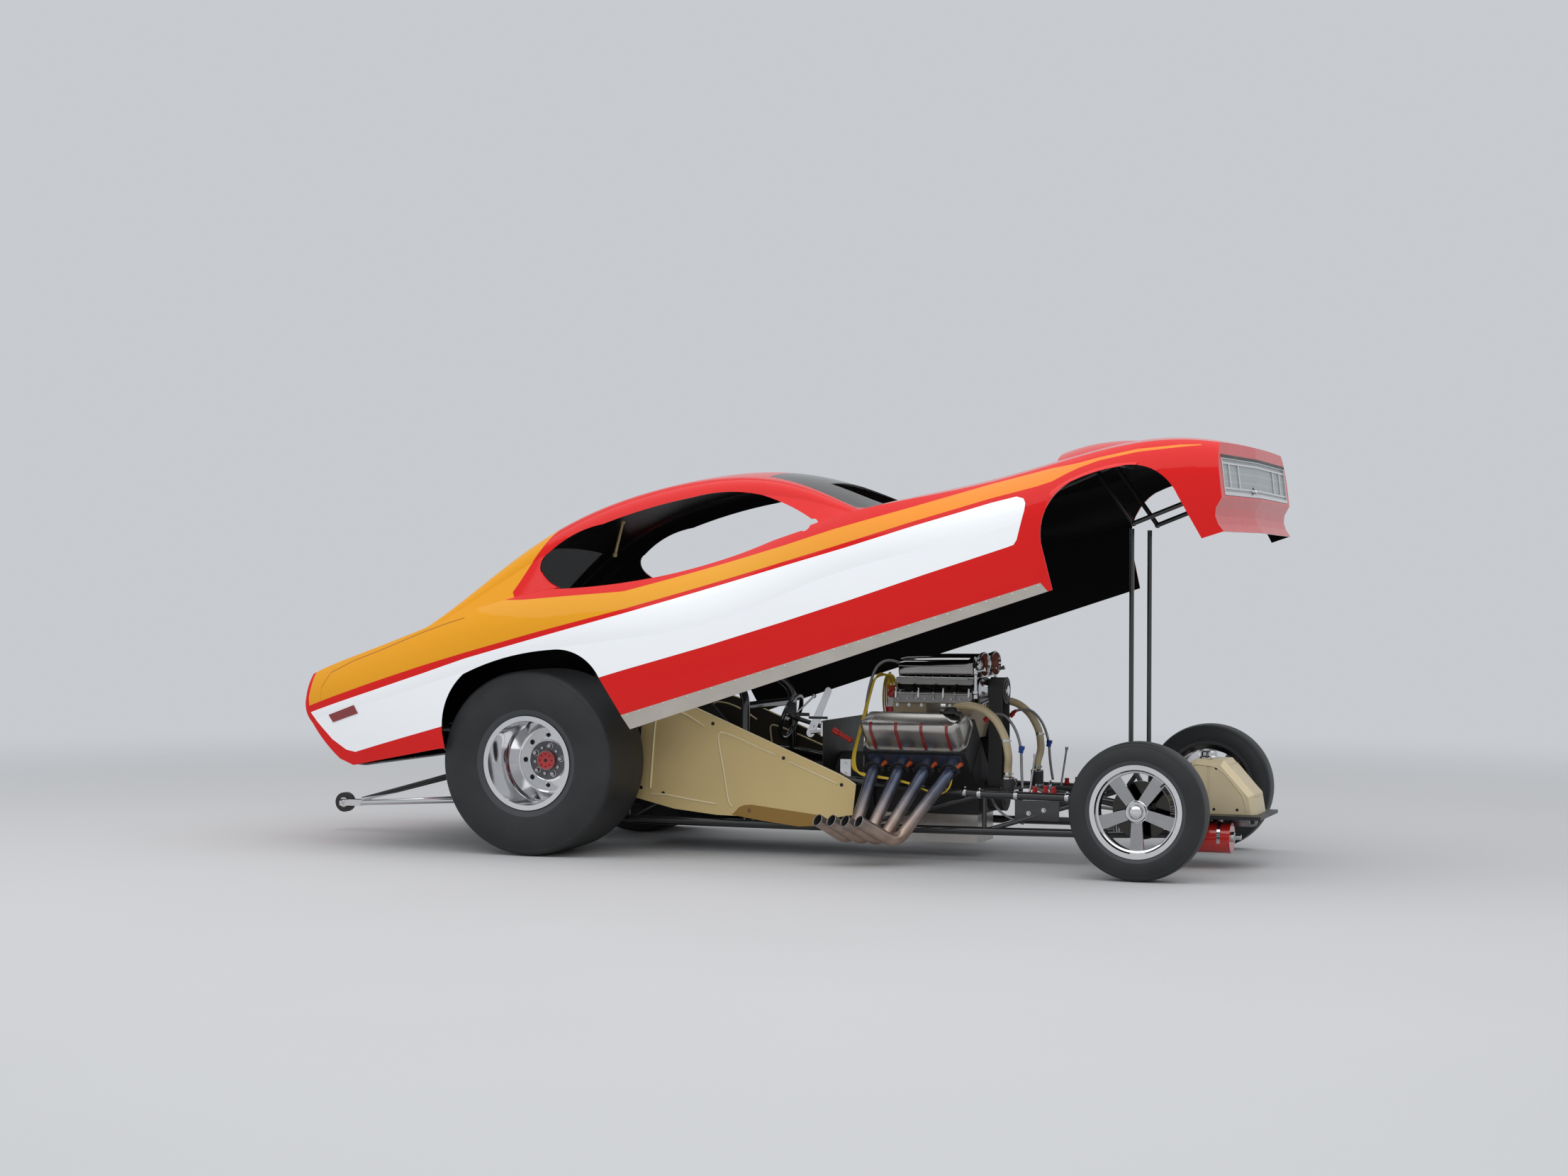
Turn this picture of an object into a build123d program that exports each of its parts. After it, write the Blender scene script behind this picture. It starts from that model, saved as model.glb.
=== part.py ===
from build123d import *
import math
import os

# Drag racing car with a one-piece tilting body, in millimetres.
# While it is worked out, the rear axle is at x = 0, the ground at z = 0, +X forward and +Y to the left.
# The body is drawn shut and is then turned up about its rear pivot, as it stands when it is open.

# Running gear
WHEELBASE = 2912
REAR_R = 438
REAR_TREAD_HALF = 205
REAR_WHEEL_Y = 655
REAR_BEAD_R = 205
REAR_LIP_R = 222
REAR_RIM_HALF = 202
REAR_DISC_Y = 610
FRONT_R = 305
FRONT_TREAD_HALF = 66
FRONT_WHEEL_Y = 780
FRONT_BEAD_R = 190
FRONT_LIP_R = 205
FRONT_RIM_HALF = 67
TYRE_WALL = 11
FIT = 0.3
KINGPIN_Y = 650
STEER_ARM = 130
SPOKES = 5
DISC_R = 128

# Body, drawn shut
TILT_DEG = 18.135
PIVOT_X = -850
PIVOT_Z = 560
SKIN = 6
ROCKER_Z = 177
ROCKER_REAR_X = 484
ROCKER_FRONT_X = 2570
BODY_BOTTOM_CUT = 60
NOSE_SWEEP = 0.02
NOSE_LOW_X, NOSE_LOW_Z = 3437, 328
NOSE_LEAN = 0.2026
GRILLE_LOW, GRILLE_HIGH, GRILLE_HALF = 338, 512, 768
STRIP_T = 3

# Prop rods
ROD_D = 22
ROD_Y = 250
ROD_FOOT_Z = 500
ROD_TOP_Z = 1545
ROD_X = {"right": 2753, "left": 2723}

# Chassis
RAIL_D = 38
BRACE_D = 22
CAGE_D = 41
EYE_R = 12.5
PANEL_T = 3
FIREWALL_X = 1284

# Engine
CRANK_Z = 300
GEARBOX_Z = 310
ENGINE_X0 = 1495
ENGINE_X1 = 2005
PORT_X = [1568, 1690, 1812, 1934]
PIPE_D = 57
PIPE_WALL = 3

NODES = {}


def add(name, shape):
    NODES[name] = shape


def solid_of(shape):
    parts = shape.solids() if hasattr(shape, "solids") else [shape]
    return Compound(list(parts)) if len(parts) > 1 else parts[0]


def rod(p, q, d):
    p, q = Vector(*p), Vector(*q)
    base = Plane(origin=p, z_dir=q - p)
    return extrude(base * Circle(d / 2), (q - p).length)


def fuse(parts):
    whole = parts[0]
    for one in parts[1:]:
        whole = whole + one
    return whole


def both_sides(shape):
    return shape, mirror(shape, Plane.XZ)


def slab_y(face_xz_points, y0, y1):
    """A flat outline in the x-z plane, run from y0 to y1."""
    wire = Polyline(*[(x, 0, z) for x, z in face_xz_points], close=True)
    face = make_face(wire)
    return Pos(0, y0, 0) * extrude(face, y1 - y0, dir=(0, 1, 0))


def box_at(x0, x1, y0, y1, z0, z1):
    centre = ((x0 + x1) / 2, (y0 + y1) / 2, (z0 + z1) / 2)
    return Pos(*centre) * Box(abs(x1 - x0), abs(y1 - y0), abs(z1 - z0))


def bent_tube(points, radii, d):
    line = FilletPolyline(*points, radius=radii)
    start = Plane(origin=line @ 0, z_dir=line % 0)
    return sweep(start * Circle(d / 2), path=line)


# Body sections, one row per station along x:
# x, half width at the rocker, half width at the middle and its height,
# half width at the shoulder and its height, height of the crown
LOWER = [
    (-1230, 700, 765, 700, 715, 905, 945),
    (-900, 770, 850, 700, 780, 940, 985),
    (-450, 850, 908, 680, 835, 945, 1000),
    (100, 868, 918, 660, 850, 940, 995),
    (600, 845, 888, 580, 800, 865, 920),
    (1400, 838, 872, 540, 780, 800, 850),
    (2200, 838, 868, 520, 765, 755, 810),
    (2850, 838, 876, 500, 765, 705, 770),
    (3250, 820, 860, 460, 765, 650, 690),
    (3480, 780, 825, 400, 740, 560, 570),
    (3620, 740, 785, 360, 715, 480, 470),
]


def lower_section(row, inset):
    x, w_low, w_mid, z_mid, w_top, z_top, z_crown = row
    a = (w_low - inset, BODY_BOTTOM_CUT - 3 * inset)
    b = (w_mid - inset, z_mid)
    c = (w_top - inset, z_top - inset)
    crown = z_crown - inset
    side_mid = ((a[0] + b[0]) / 2 + 12, (a[1] + b[1]) / 2)
    arc_mid = ((b[0] + c[0]) / 2 + 0.10 * (c[1] - b[1]), (b[1] + c[1]) / 2 + 18)

    def pt(y, z):
        return Vector(x, y, z)

    edges = [
        Line(pt(-a[0], a[1]), pt(a[0], a[1])),
        ThreePointArc(pt(*a), pt(*side_mid), pt(*b)),
        ThreePointArc(pt(*b), pt(*arc_mid), pt(*c)),
        ThreePointArc(pt(*c), pt(0, crown), pt(-c[0], c[1])),
        ThreePointArc(pt(-c[0], c[1]), pt(-arc_mid[0], arc_mid[1]), pt(-b[0], b[1])),
        ThreePointArc(pt(-b[0], b[1]), pt(-side_mid[0], side_mid[1]), pt(-a[0], a[1])),
    ]
    return make_face(edges)


# Cabin sections: x, half width and height of the foot, half width and height of the roof edge, crown
CABIN = [
    (-700, 720, 880, 640, 935, 950),
    (-350, 770, 860, 610, 1020, 1050),
    (50, 790, 800, 520, 1172, 1206),
    (500, 795, 780, 478, 1256, 1288),
    (1000, 790, 760, 478, 1225, 1262),
    (1350, 775, 740, 500, 1122, 1165),
    (1650, 750, 720, 540, 925, 975),
    (1980, 700, 690, 600, 735, 790),
]


def cabin_section(row, inset):
    x, w_foot, z_foot, w_roof, z_roof, z_crown = row
    a = (w_foot - inset, z_foot - 4 * inset)
    c = (w_roof - inset, z_roof - inset)
    crown = z_crown - inset
    rise = z_roof - z_foot
    b = (c[0] + 0.30 * (a[0] - c[0]), c[1] - 0.22 * rise)
    edge_mid = (c[0] + 0.20 * (a[0] - c[0]), c[1] - 0.075 * rise)

    def pt(y, z):
        return Vector(x, y, z)

    edges = [
        Line(pt(-a[0], a[1]), pt(a[0], a[1])),
        Line(pt(*a), pt(*b)),
        ThreePointArc(pt(*b), pt(*edge_mid), pt(*c)),
        ThreePointArc(pt(*c), pt(0, crown), pt(-c[0], c[1])),
        ThreePointArc(pt(-c[0], c[1]), pt(-edge_mid[0], edge_mid[1]), pt(-b[0], b[1])),
        Line(pt(-b[0], b[1]), pt(-a[0], a[1])),
    ]
    return make_face(edges)


def turned_up(shape):
    """Turn a piece of the body from shut to open about the rear pivot."""
    back = Pos(-PIVOT_X, 0, -PIVOT_Z) * shape
    return Pos(PIVOT_X, 0, PIVOT_Z) * (Rot(0, -TILT_DEG, 0) * back)


def tail_profile(inset):
    """Side outline that trims the tail and the lower edge."""
    i = inset
    rear = [(-990 + i, 438), (-1055 + i, 489), (-1152 + i, 698), (-1152 + i, 824), (-1052 + i, 990)]
    if inset:
        rest = [(-900 + i, 1400), (4000, 1400), (4000, 0), (-990 + i, 0)]
    else:
        rest = [(-900, 1400), (4000, 1400), (4000, 187), (3240, 187), (2600, ROCKER_Z),
                (ROCKER_REAR_X - 20, ROCKER_Z), (-494, 375)]
    rear = [Vector(x, 0, z) for x, z in rear]
    rest = [rear[4]] + [Vector(x, 0, z) for x, z in rest] + [rear[0]]
    edges = [Line(rear[0], rear[1])]
    edges.append(ThreePointArc(rear[1], Vector(-1112 + i, 0, 590), rear[2]))
    edges.append(ThreePointArc(rear[2], Vector(-1167 + i, 0, 760), rear[3]))
    edges.append(ThreePointArc(rear[3], Vector(-1110 + i, 0, 912), rear[4]))
    edges += [Line(p, q) for p, q in zip(rest, rest[1:])]
    return Pos(0, -1000, 0) * extrude(make_face(edges), 2000, dir=(0, 1, 0))


def nose_x(z):
    """Front face of the nose at height z, in the middle of the car."""
    return NOSE_LOW_X + NOSE_LEAN * (z - NOSE_LOW_Z)


def nose_profile(inset):
    """Side outline of the nose, swept back from the middle to each side."""
    i = inset
    points = [
        (-2000, 1400),
        (3485 - i, 1400),
        (3485 - i, 570),
        (NOSE_LOW_X - i, NOSE_LOW_Z),
        (3400 - i, 294),
        (3386 - i, 262),
        (3386 - i, 225),
        (3398 - i, 187),
        (3398 - i, 140 - 20 * i),
        (-2000, 140 - 20 * i),
    ]
    halves = []
    for s in (-1, 1):
        face = make_face(Polyline(*[(x, 0, z) for x, z in points], close=True))
        halves.append(extrude(face, 1000, dir=(-NOSE_SWEEP, s, 0)))
    return halves[0] + halves[1]


def arch_cutter(arcs, foot_rear, foot_front, y0, y1):
    """A wheel opening: three arcs over the wheel and straight sides down."""
    pts = [[Vector(x, 0, z) for x, z in arc] for arc in arcs]
    lines = [ThreePointArc(*arc) for arc in pts]
    first, last = pts[0][0], pts[-1][2]
    down_f = Vector(foot_front[0], 0, foot_front[1])
    down_r = Vector(foot_rear[0], 0, foot_rear[1])
    lines.append(Line(last, down_f))
    lines.append(Line(down_f, down_r))
    lines.append(Line(down_r, first))
    face = make_face(lines)
    return Pos(0, y0, 0) * extrude(face, y1 - y0, dir=(0, 1, 0))


REAR_ARCH = [
    ((-440, 430), (-375, 565), (-235, 669)),
    ((-235, 669), (-20, 678), (230, 643)),
    ((230, 643), (365, 565), (418, 443)),
]
FRONT_ARCH = [
    ((2606, 350), (2668, 515), (2809, 601)),
    ((2809, 601), (2920, 608), (3030, 598)),
    ((3030, 598), (3185, 528), (3244, 400)),
]


def side_window_cutter():
    arcs = [
        ((175, 1035), (222, 970), (300, 917)),
        ((300, 917), (600, 846), (1350, 800)),
        ((1540, 797), (1588, 812), (1560, 850)),
        ((1560, 850), (1458, 950), (1340, 1040)),
        ((1340, 1040), (1190, 1108), (1000, 1145)),
        ((1000, 1145), (760, 1168), (520, 1170)),
        ((520, 1170), (350, 1168), (215, 1125)),
        ((215, 1125), (168, 1082), (175, 1035)),
    ]
    edges = [ThreePointArc(*[Vector(x, 0, z) for x, z in arc]) for arc in arcs]
    edges.append(Line(Vector(1350, 0, 800), Vector(1540, 0, 797)))
    return Pos(0, -1000, 0) * extrude(make_face(edges), 2000, dir=(0, 1, 0))


def windshield_cutter(grow):
    g = grow
    outline = Polyline((1345 + g, -440 + g, 0), (1345 + g, 440 - g, 0), (1745 - g, 555 - g, 0),
                       (1850 - g, 300, 0), (1875 - g, 0, 0), (1850 - g, -300, 0),
                       (1745 - g, -555 + g, 0), close=True)
    return Pos(0, 0, 790) * extrude(make_face(outline), 600, dir=(0, 0, 1))


def rear_window_cutter(grow):
    g = grow
    outline = Polyline((-430 + g, -560 + g, 0), (-430 + g, 560 - g, 0), (60 - g, 430 - g, 0),
                       (60 - g, -430 + g, 0), close=True)
    return Pos(0, 0, 900) * extrude(make_face(outline), 500, dir=(0, 0, 1))


# Hood blister sections: x, height of the sides, height of the crown
BLISTER = [(2652, 750, 828), (2834, 742, 815), (3070, 660, 738)]
BLISTER_HALF = 345
HOOD_HOLE = (1560, 2120, 235)


def blister_block(inset):
    sections = []
    for station, side, crown in BLISTER:
        x = station + inset
        half = BLISTER_HALF - inset
        low, side_z, top = 640, side - inset, crown - inset
        edges = [
            Line(Vector(x, -half, low), Vector(x, half, low)),
            Line(Vector(x, half, low), Vector(x, half, side_z)),
            ThreePointArc(Vector(x, half, side_z), Vector(x, 0, top), Vector(x, -half, side_z)),
            Line(Vector(x, -half, side_z), Vector(x, -half, low)),
        ]
        sections.append(make_face(edges))
    return loft(sections)


def lower_volume(inset):
    whole = loft([lower_section(r, inset) for r in LOWER])
    return turned_up((whole & tail_profile(inset)) & nose_profile(inset))


def cabin_volume(inset):
    return turned_up(loft([cabin_section(r, inset) for r in CABIN]))


def make_body():
    blister = blister_block(0) - box_at(2600, 3100, -400, 400, 600, 690)
    outer = lower_volume(0) + cabin_volume(0) + turned_up(blister)
    inner = lower_volume(SKIN) + cabin_volume(SKIN)
    shell = outer - inner
    cutters = [
        blister_block(SKIN),
        arch_cutter(REAR_ARCH, (-461, 300), (500, 100), -1000, 1000),
        arch_cutter(FRONT_ARCH, (2585, 100), (3300, 100), -1000, 1000),
        side_window_cutter(),
        windshield_cutter(0),
        rear_window_cutter(0),
        hood_hole(0),
        grille_opening(),
    ]
    for cutter in cutters:
        shell = shell - turned_up(cutter)
    return shell


def swept_bar(points, half):
    """An outline in the x-z plane, run from the middle to both sides along the nose."""
    face = make_face(Polyline(*[(x, 0, z) for x, z in points], close=True))
    sides = [extrude(face, half, dir=(-NOSE_SWEEP, s, 0)) for s in (-1, 1)]
    return sides[0] + sides[1]


def nose_band(low, high, front, depth):
    """Outline of a band of the nose face: how far its front stands out, and its depth."""
    return [(nose_x(low) + front, low), (nose_x(high) + front, high), (nose_x(high) + front - depth, high),
            (nose_x(low) + front - depth, low)]


def hood_hole(grow):
    """Cut for the injector hat, through the hood and the foot of the windshield."""
    x0, x1, half = HOOD_HOLE
    return box_at(x0 - grow, x1 + grow, -half - grow, half + grow, 600, 1100)


def grille_opening():
    return swept_bar(nose_band(GRILLE_LOW, GRILLE_HIGH, 60, 160), GRILLE_HALF)


def keep_large(shape, smallest=200000):
    solids = [s for s in shape.solids() if s.volume > smallest]
    return solids[0] if len(solids) == 1 else Compound(solids)


add("body_shell", keep_large(make_body()))
GLASS_T = 4
glass_skin = cabin_volume(0) - cabin_volume(GLASS_T)
panes = [keep_large((glass_skin & turned_up(cutter(FIT))) - turned_up(hood_hole(2)))
         for cutter in (windshield_cutter, rear_window_cutter)]
add("window_panes", Compound(panes))

strip = slab_y([(ROCKER_REAR_X, ROCKER_Z), (463, 252), (2551, 222), (ROCKER_FRONT_X, ROCKER_Z)], -1000, 1000)
strip_skin = loft([lower_section(r, -STRIP_T - FIT) for r in LOWER]) - loft([lower_section(r, -FIT) for r in LOWER])
add("rocker_strips", turned_up(keep_large(strip_skin & strip)))

# Lamp and grille panel: a plate behind the opening, with bars that stand forward through it
PLATE_T = 5
BAR_W = 15
BAR_GAP = 1
plate_front = -SKIN - FIT
room = lower_volume(SKIN + FIT)
plate = swept_bar(nose_band(GRILLE_LOW - 12, GRILLE_HIGH + 12, plate_front, PLATE_T), GRILLE_HALF + 10)
plate = turned_up(plate) & room
low, high = GRILLE_LOW + BAR_GAP, GRILLE_HIGH - BAR_GAP
half = GRILLE_HALF - BAR_GAP
bars = [(low, low + BAR_W, 2, 12), (high - BAR_W, high, 2, 12), (low + 28, low + 36, -2, 8), (high - 36, high - 28, -2, 8)]
for z0, z1, front, depth in bars:
    plate = plate + turned_up(swept_bar(nose_band(z0, z1, front, depth), half))
upright = swept_bar(nose_band(low, high, 2, 12), half)
stripe = swept_bar(nose_band(low + 30, high - 30, -1, 9), half)
for s in (-1, 1):
    y0, y1 = s * (half - BAR_W), s * (half + 5)
    plate = plate + turned_up(upright & box_at(3300, 3600, y0, y1, 300, 600))
    for middle in (0.55 * half, 0.80 * half):
        y0, y1 = s * middle - 11, s * middle + 11
        plate = plate + turned_up(stripe & box_at(3300, 3600, y0, y1, 300, 600))
add("front_grille", plate)

# Grey lower rear bumper, a folded sheet under the tail
bumper = slab_y([(-1085, 500), (-1035, 452), (-985, 432), (-880, 418), (-880, 421), (-985, 435), (-1033, 455),
                 (-1082, 502)], -690, 690)
add("rear_bumper", turned_up(Pos(-4, 0, -4) * bumper))

# Tubing inside the body: hoop under the hood, lower corners where the rods stand, and the rear hinge
TREE_CORNER = (2895, 395)
tree = []
for s in (-1, 1):
    y = s * ROD_Y
    corner = (TREE_CORNER[0], y, TREE_CORNER[1])
    tree.append(Pos(*corner) * Sphere(BRACE_D / 2 + 3))
    tree.append(rod(corner, (2790, y, 735), BRACE_D))
    tree.append(rod(corner, (nose_x(425) - NOSE_SWEEP * ROD_Y - SKIN - PLATE_T - 9, y, 425), BRACE_D))
    tree.append(Pos(2790, y, 735) * Sphere(BRACE_D / 2 + 3))
    tree.append(rod((2790, y, 735), (1300, s * 900, 700), BRACE_D))
tree.append(rod((3340, -900, 420), (3340, 900, 420), BRACE_D + 2))
tree.append(rod((2790, -900, 735), (2790, 900, 735), BRACE_D + 2))

hinge = [rod((PIVOT_X, -330, PIVOT_Z), (PIVOT_X, 330, PIVOT_Z), 30)]
hinge.append(rod((PIVOT_X, -310, PIVOT_Z), (-1200, -500, 760), 22))
hinge.append(rod((PIVOT_X, 310, PIVOT_Z), (-1200, 500, 760), 22))
tubing = [keep_large(turned_up(fuse(group)) & room) for group in (tree, hinge)]
add("body_tubing", Compound(tubing))

# Prop rods, each with an eye at its foot
EYE_HALF = 10
PIN_D = 12
PIN_CLEAR = 0.1
for side, s in (("right", -1), ("left", 1)):
    x, y, z = ROD_X[side], s * ROD_Y, ROD_FOOT_Z
    eye = rod((x - EYE_HALF, y, z), (x + EYE_HALF, y, z), 30)
    shank = rod((x, y, z), (x, y, z + 30), 2 * EYE_HALF)
    tube = rod((x, y, z + 20), (x, y, ROD_TOP_Z), ROD_D)
    bore = rod((x - 20, y, z), (x + 20, y, z), PIN_D + PIN_CLEAR)
    add(f"prop_rod_{side}", fuse([tube, shank, eye]) - bore)


def rod_fork(x, y):
    """Fork and pin at the top of a chassis post, for the foot of a prop rod."""
    z = ROD_FOOT_Z
    base = box_at(x - 16, x + 16, y - 13, y + 13, z - 34, z - 19)
    pin = rod((x - 16, y, z), (x + 16, y, z), PIN_D)
    fork = base + pin
    for x0, x1 in ((x - 16, x - EYE_HALF - 0.5), (x + EYE_HALF + 0.5, x + 16)):
        fork = fork + rod((x0, y, z), (x1, y, z), 26) + box_at(x0, x1, y - 13, y + 13, z - 20, z)
    return fork


# Wheels and tyres, turned about the Y axis at the origin with the outside at +Y
def spun(face):
    return revolve(face, axis=Axis.Y)


def yz_profile(points):
    """Closed outline in (radius, y), drawn in the x-y plane for turning about Y."""
    return make_face(Polyline(*[(r, y, 0) for r, y in points], close=True))


def tyre(r_bead, r_tread, half_rim, half_tread, wall, crown, bulge):
    def contour(off):
        rt = r_tread - off
        ht = half_tread - off
        hb = half_rim - off
        shoulder = 24 if r_tread > 400 else 18
        side = (0.55 * r_bead + 0.45 * r_tread, half_tread + bulge - off)
        return hb, side, ht, rt, shoulder

    def face(off, bead):
        hb, side, ht, rt, sh = contour(off)
        lines = []
        right = [
            ThreePointArc((bead, hb), side, (rt - sh - crown, ht)),
            ThreePointArc((rt - sh - crown, ht), (rt - crown - 0.3 * sh, ht - 0.3 * sh), (rt - crown, ht - sh)),
        ]
        lines.extend(right)
        lines.append(ThreePointArc((rt - crown, ht - sh), (rt, 0), (rt - crown, -ht + sh)))
        left = [
            ThreePointArc((rt - crown, -ht + sh), (rt - crown - 0.3 * sh, -ht + 0.3 * sh), (rt - sh - crown, -ht)),
            ThreePointArc((rt - sh - crown, -ht), (side[0], -side[1]), (bead, -hb)),
        ]
        lines.extend(left)
        lines.append(Line((bead, -hb), (bead, hb)))
        return make_face(lines)

    section = face(0, r_bead) - face(wall, r_bead - 5)
    return spun(section)


def rear_rim():
    h, lip, bead = REAR_RIM_HALF, REAR_LIP_R, REAR_BEAD_R - FIT
    disc = REAR_DISC_Y - REAR_WHEEL_Y
    outline = [
        (bead, -h + 2), (lip, -h + 2), (lip, -h), (bead - 6, -h), (bead - 6, disc - 8),
        (62, disc - 8), (62, disc + 4), (90, disc + 4), (150, disc - 2), (bead - 16, disc + 40),
        (bead - 6, disc + 60), (bead - 6, h), (lip, h), (lip, h - 2), (bead, h - 2),
    ]
    rim = spun(yz_profile(outline))
    holes = []
    for i in range(8):
        a = math.radians(45 * i)
        holes.append(Pos(118 * math.cos(a), disc, 118 * math.sin(a)) * (Rot(90, 0, 0) * Cylinder(9, 60)))
    return rim - Compound(holes)


def front_rim():
    h, lip, bead = FRONT_RIM_HALF, FRONT_LIP_R, FRONT_BEAD_R - FIT
    outline = [
        (bead, -h + 2), (lip, -h + 2), (lip, -h), (bead - 6, -h), (bead - 6, h), (lip, h), (lip, h - 2),
        (bead, h - 2),
    ]
    ring = spun(yz_profile(outline))
    hub = spun(yz_profile([(22, -56), (44, -56), (44, 10), (50, 20), (50, 50), (40, 60), (22, 60)]))
    disc = spun(yz_profile([(40, -56), (DISC_R, -56), (DISC_R, -48), (40, -48)]))
    spokes = []
    for i in range(SPOKES):
        face = make_face(Polyline((40, -23, 0), (bead - 3, -32, 0), (bead - 3, 32, 0), (40, 23, 0), close=True))
        spoke = Pos(0, 42, 0) * (Rot(90, 0, 0) * extrude(face, 16))
        spokes.append(Rot(0, 90 + 72 * i, 0) * spoke)
    rim = ring
    for one in [hub, disc] + spokes:
        rim = rim + one
    return rim


rear_tyre = tyre(REAR_BEAD_R, REAR_R, REAR_RIM_HALF - 16, REAR_TREAD_HALF, TYRE_WALL, 4, 16)
front_tyre = tyre(FRONT_BEAD_R, FRONT_R, FRONT_RIM_HALF - 15, FRONT_TREAD_HALF, TYRE_WALL, 3, 9)
rear_left_rim = Pos(0, REAR_WHEEL_Y, REAR_R) * rear_rim()
front_left_rim = Pos(WHEELBASE, FRONT_WHEEL_Y, FRONT_R) * front_rim()
rear_left_tyre = Pos(0, REAR_WHEEL_Y, REAR_R) * rear_tyre
front_left_tyre = Pos(WHEELBASE, FRONT_WHEEL_Y, FRONT_R) * front_tyre
for name, shape in (("rear_rim", rear_left_rim), ("rear_tyre", rear_left_tyre),
                    ("front_rim", front_left_rim), ("front_tyre", front_left_tyre)):
    left, right = both_sides(shape)
    if name in ("rear_rim", "rear_tyre"):
        add(f"{name}s", Compound([solid_of(left), solid_of(right)]))
    else:
        add(f"{name}_left", left)
        add(f"{name}_right", right)

# Rear axle: the solid shaft that both wheels are bolted to, in the fixed housing
AXLE_SHAFT_D = 44
shaft = rod((0, -REAR_DISC_Y + 9, REAR_R), (0, REAR_DISC_Y - 9, REAR_R), AXLE_SHAFT_D)
flanges = [rod((0, s * (REAR_DISC_Y - 26), REAR_R), (0, s * (REAR_DISC_Y - 8.3), REAR_R), 190) for s in (-1, 1)]
caps = [rod((0, s * (REAR_DISC_Y - 10), REAR_R), (0, s * (REAR_DISC_Y + 30), REAR_R), 90) for s in (-1, 1)]
add("rear_axle_shaft", fuse([shaft] + flanges + caps))
HOUSING_D = 88
housing = [rod((0, -560, REAR_R), (0, 560, REAR_R), HOUSING_D)]
housing.append(Pos(0, 0, REAR_R) * Sphere(150))
housing = fuse(housing) - rod((0, -700, REAR_R), (0, 700, REAR_R), AXLE_SHAFT_D + 1)
housing = housing + rod((100, 0, REAR_R), (230, 0, REAR_R), 90)
add("rear_axle_housing", housing)

# Front axle, knuckles and tie rod
EAR_R = 16.5
beam = rod((WHEELBASE, -KINGPIN_Y + 32, FRONT_R), (WHEELBASE, KINGPIN_Y - 32, FRONT_R), 50)
pins = [rod((WHEELBASE, s * KINGPIN_Y, FRONT_R - 50), (WHEELBASE, s * KINGPIN_Y, FRONT_R + 50), 26) for s in (-1, 1)]
ears = []
for s in (-1, 1):
    inner, outer = sorted((s * (KINGPIN_Y - 40), s * KINGPIN_Y))
    ears.append(box_at(WHEELBASE - EAR_R, WHEELBASE + EAR_R, inner, outer, FRONT_R - 24, FRONT_R + 24))
    ears.append(rod((WHEELBASE, s * KINGPIN_Y, FRONT_R - 24), (WHEELBASE, s * KINGPIN_Y, FRONT_R + 24), 2 * EAR_R))
front_axle = fuse([beam] + pins + ears)


def knuckle_left():
    x, y, z = WHEELBASE, KINGPIN_Y, FRONT_R
    upper = rod((x, y, z + 26), (x, y, z + 48), 46)
    lower = rod((x, y, z - 48), (x, y, z - 26), 46)
    web = box_at(x - 18, x + 18, y + 18, y + 36, z - 48, z + 48)
    web = web + box_at(x - 18, x + 18, y, y + 36, z + 28, z + 46) + box_at(x - 18, x + 18, y, y + 36, z - 46, z - 28)
    spindle = rod((x, y + 30, z), (x, FRONT_WHEEL_Y + 62, z), 42)
    arm = rod((x, y, z - 38), (x - STEER_ARM, y, z - 62), 20)
    eye = rod((x - STEER_ARM, y, z - 78), (x - STEER_ARM, y, z - 46), 30)
    body = fuse([upper, lower, web, spindle, arm, eye])
    body = body - rod((x, y, z - 60), (x, y, z + 60), 26.6)
    return body - rod((x - STEER_ARM, y, z - 100), (x - STEER_ARM, y, z), 14.6)


left_knuckle = knuckle_left()
add("knuckle_left", left_knuckle)
add("knuckle_right", mirror(left_knuckle, Plane.XZ))
tie_x, tie_z = WHEELBASE - STEER_ARM, FRONT_R - 92
tie = [rod((tie_x, -KINGPIN_Y + 4, tie_z), (tie_x, KINGPIN_Y - 4, tie_z), 20)]
for s in (-1, 1):
    tie.append(rod((tie_x, s * KINGPIN_Y, tie_z - 13), (tie_x, s * KINGPIN_Y, tie_z + 13), 30))
    tie.append(rod((tie_x, s * KINGPIN_Y, tie_z), (tie_x, s * KINGPIN_Y, FRONT_R - 46), 14))
add("tie_rod", fuse(tie))

# Frame: two pairs of rails with uprights, diagonals and cross tubes
# columns: x, half width, lower rail z, upper rail z
STATIONS = [
    (-420, 280, 200, 560),
    (300, 330, 150, 520),
    (900, 330, 145, 460),
    (1440, 325, 145, 365),
    (2080, 315, 148, 318),
    (2600, 300, 152, 312),
    (3080, 245, 165, 220),
]


def upper_rail(x):
    """Half width and height of the upper rail's centre line at x."""
    for a, b in zip(STATIONS, STATIONS[1:]):
        if a[0] <= x <= b[0]:
            t = (x - a[0]) / (b[0] - a[0])
            return a[1] + t * (b[1] - a[1]), a[3] + t * (b[3] - a[3])


frame = []
for a, b in zip(STATIONS, STATIONS[1:]):
    for s in (-1, 1):
        frame.append(rod((a[0], s * a[1], a[2]), (b[0], s * b[1], b[2]), RAIL_D))
        frame.append(rod((a[0], s * a[1], a[3]), (b[0], s * b[1], b[3]), RAIL_D))
        frame.append(rod((a[0], s * a[1], a[2]), (b[0], s * b[1], b[3]), BRACE_D))
for x, w, z0, z1 in STATIONS:
    for s in (-1, 1):
        frame.append(rod((x, s * w, z0), (x, s * w, z1), BRACE_D))
for x, w, z0, z1 in STATIONS[:3] + STATIONS[4:6]:
    frame.append(rod((x, -w, z0), (x, w, z0), BRACE_D))
for x, w, z0, z1 in STATIONS[:1] + STATIONS[-1:]:
    frame.append(rod((x, -w, z1), (x, w, z1), BRACE_D))
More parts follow.
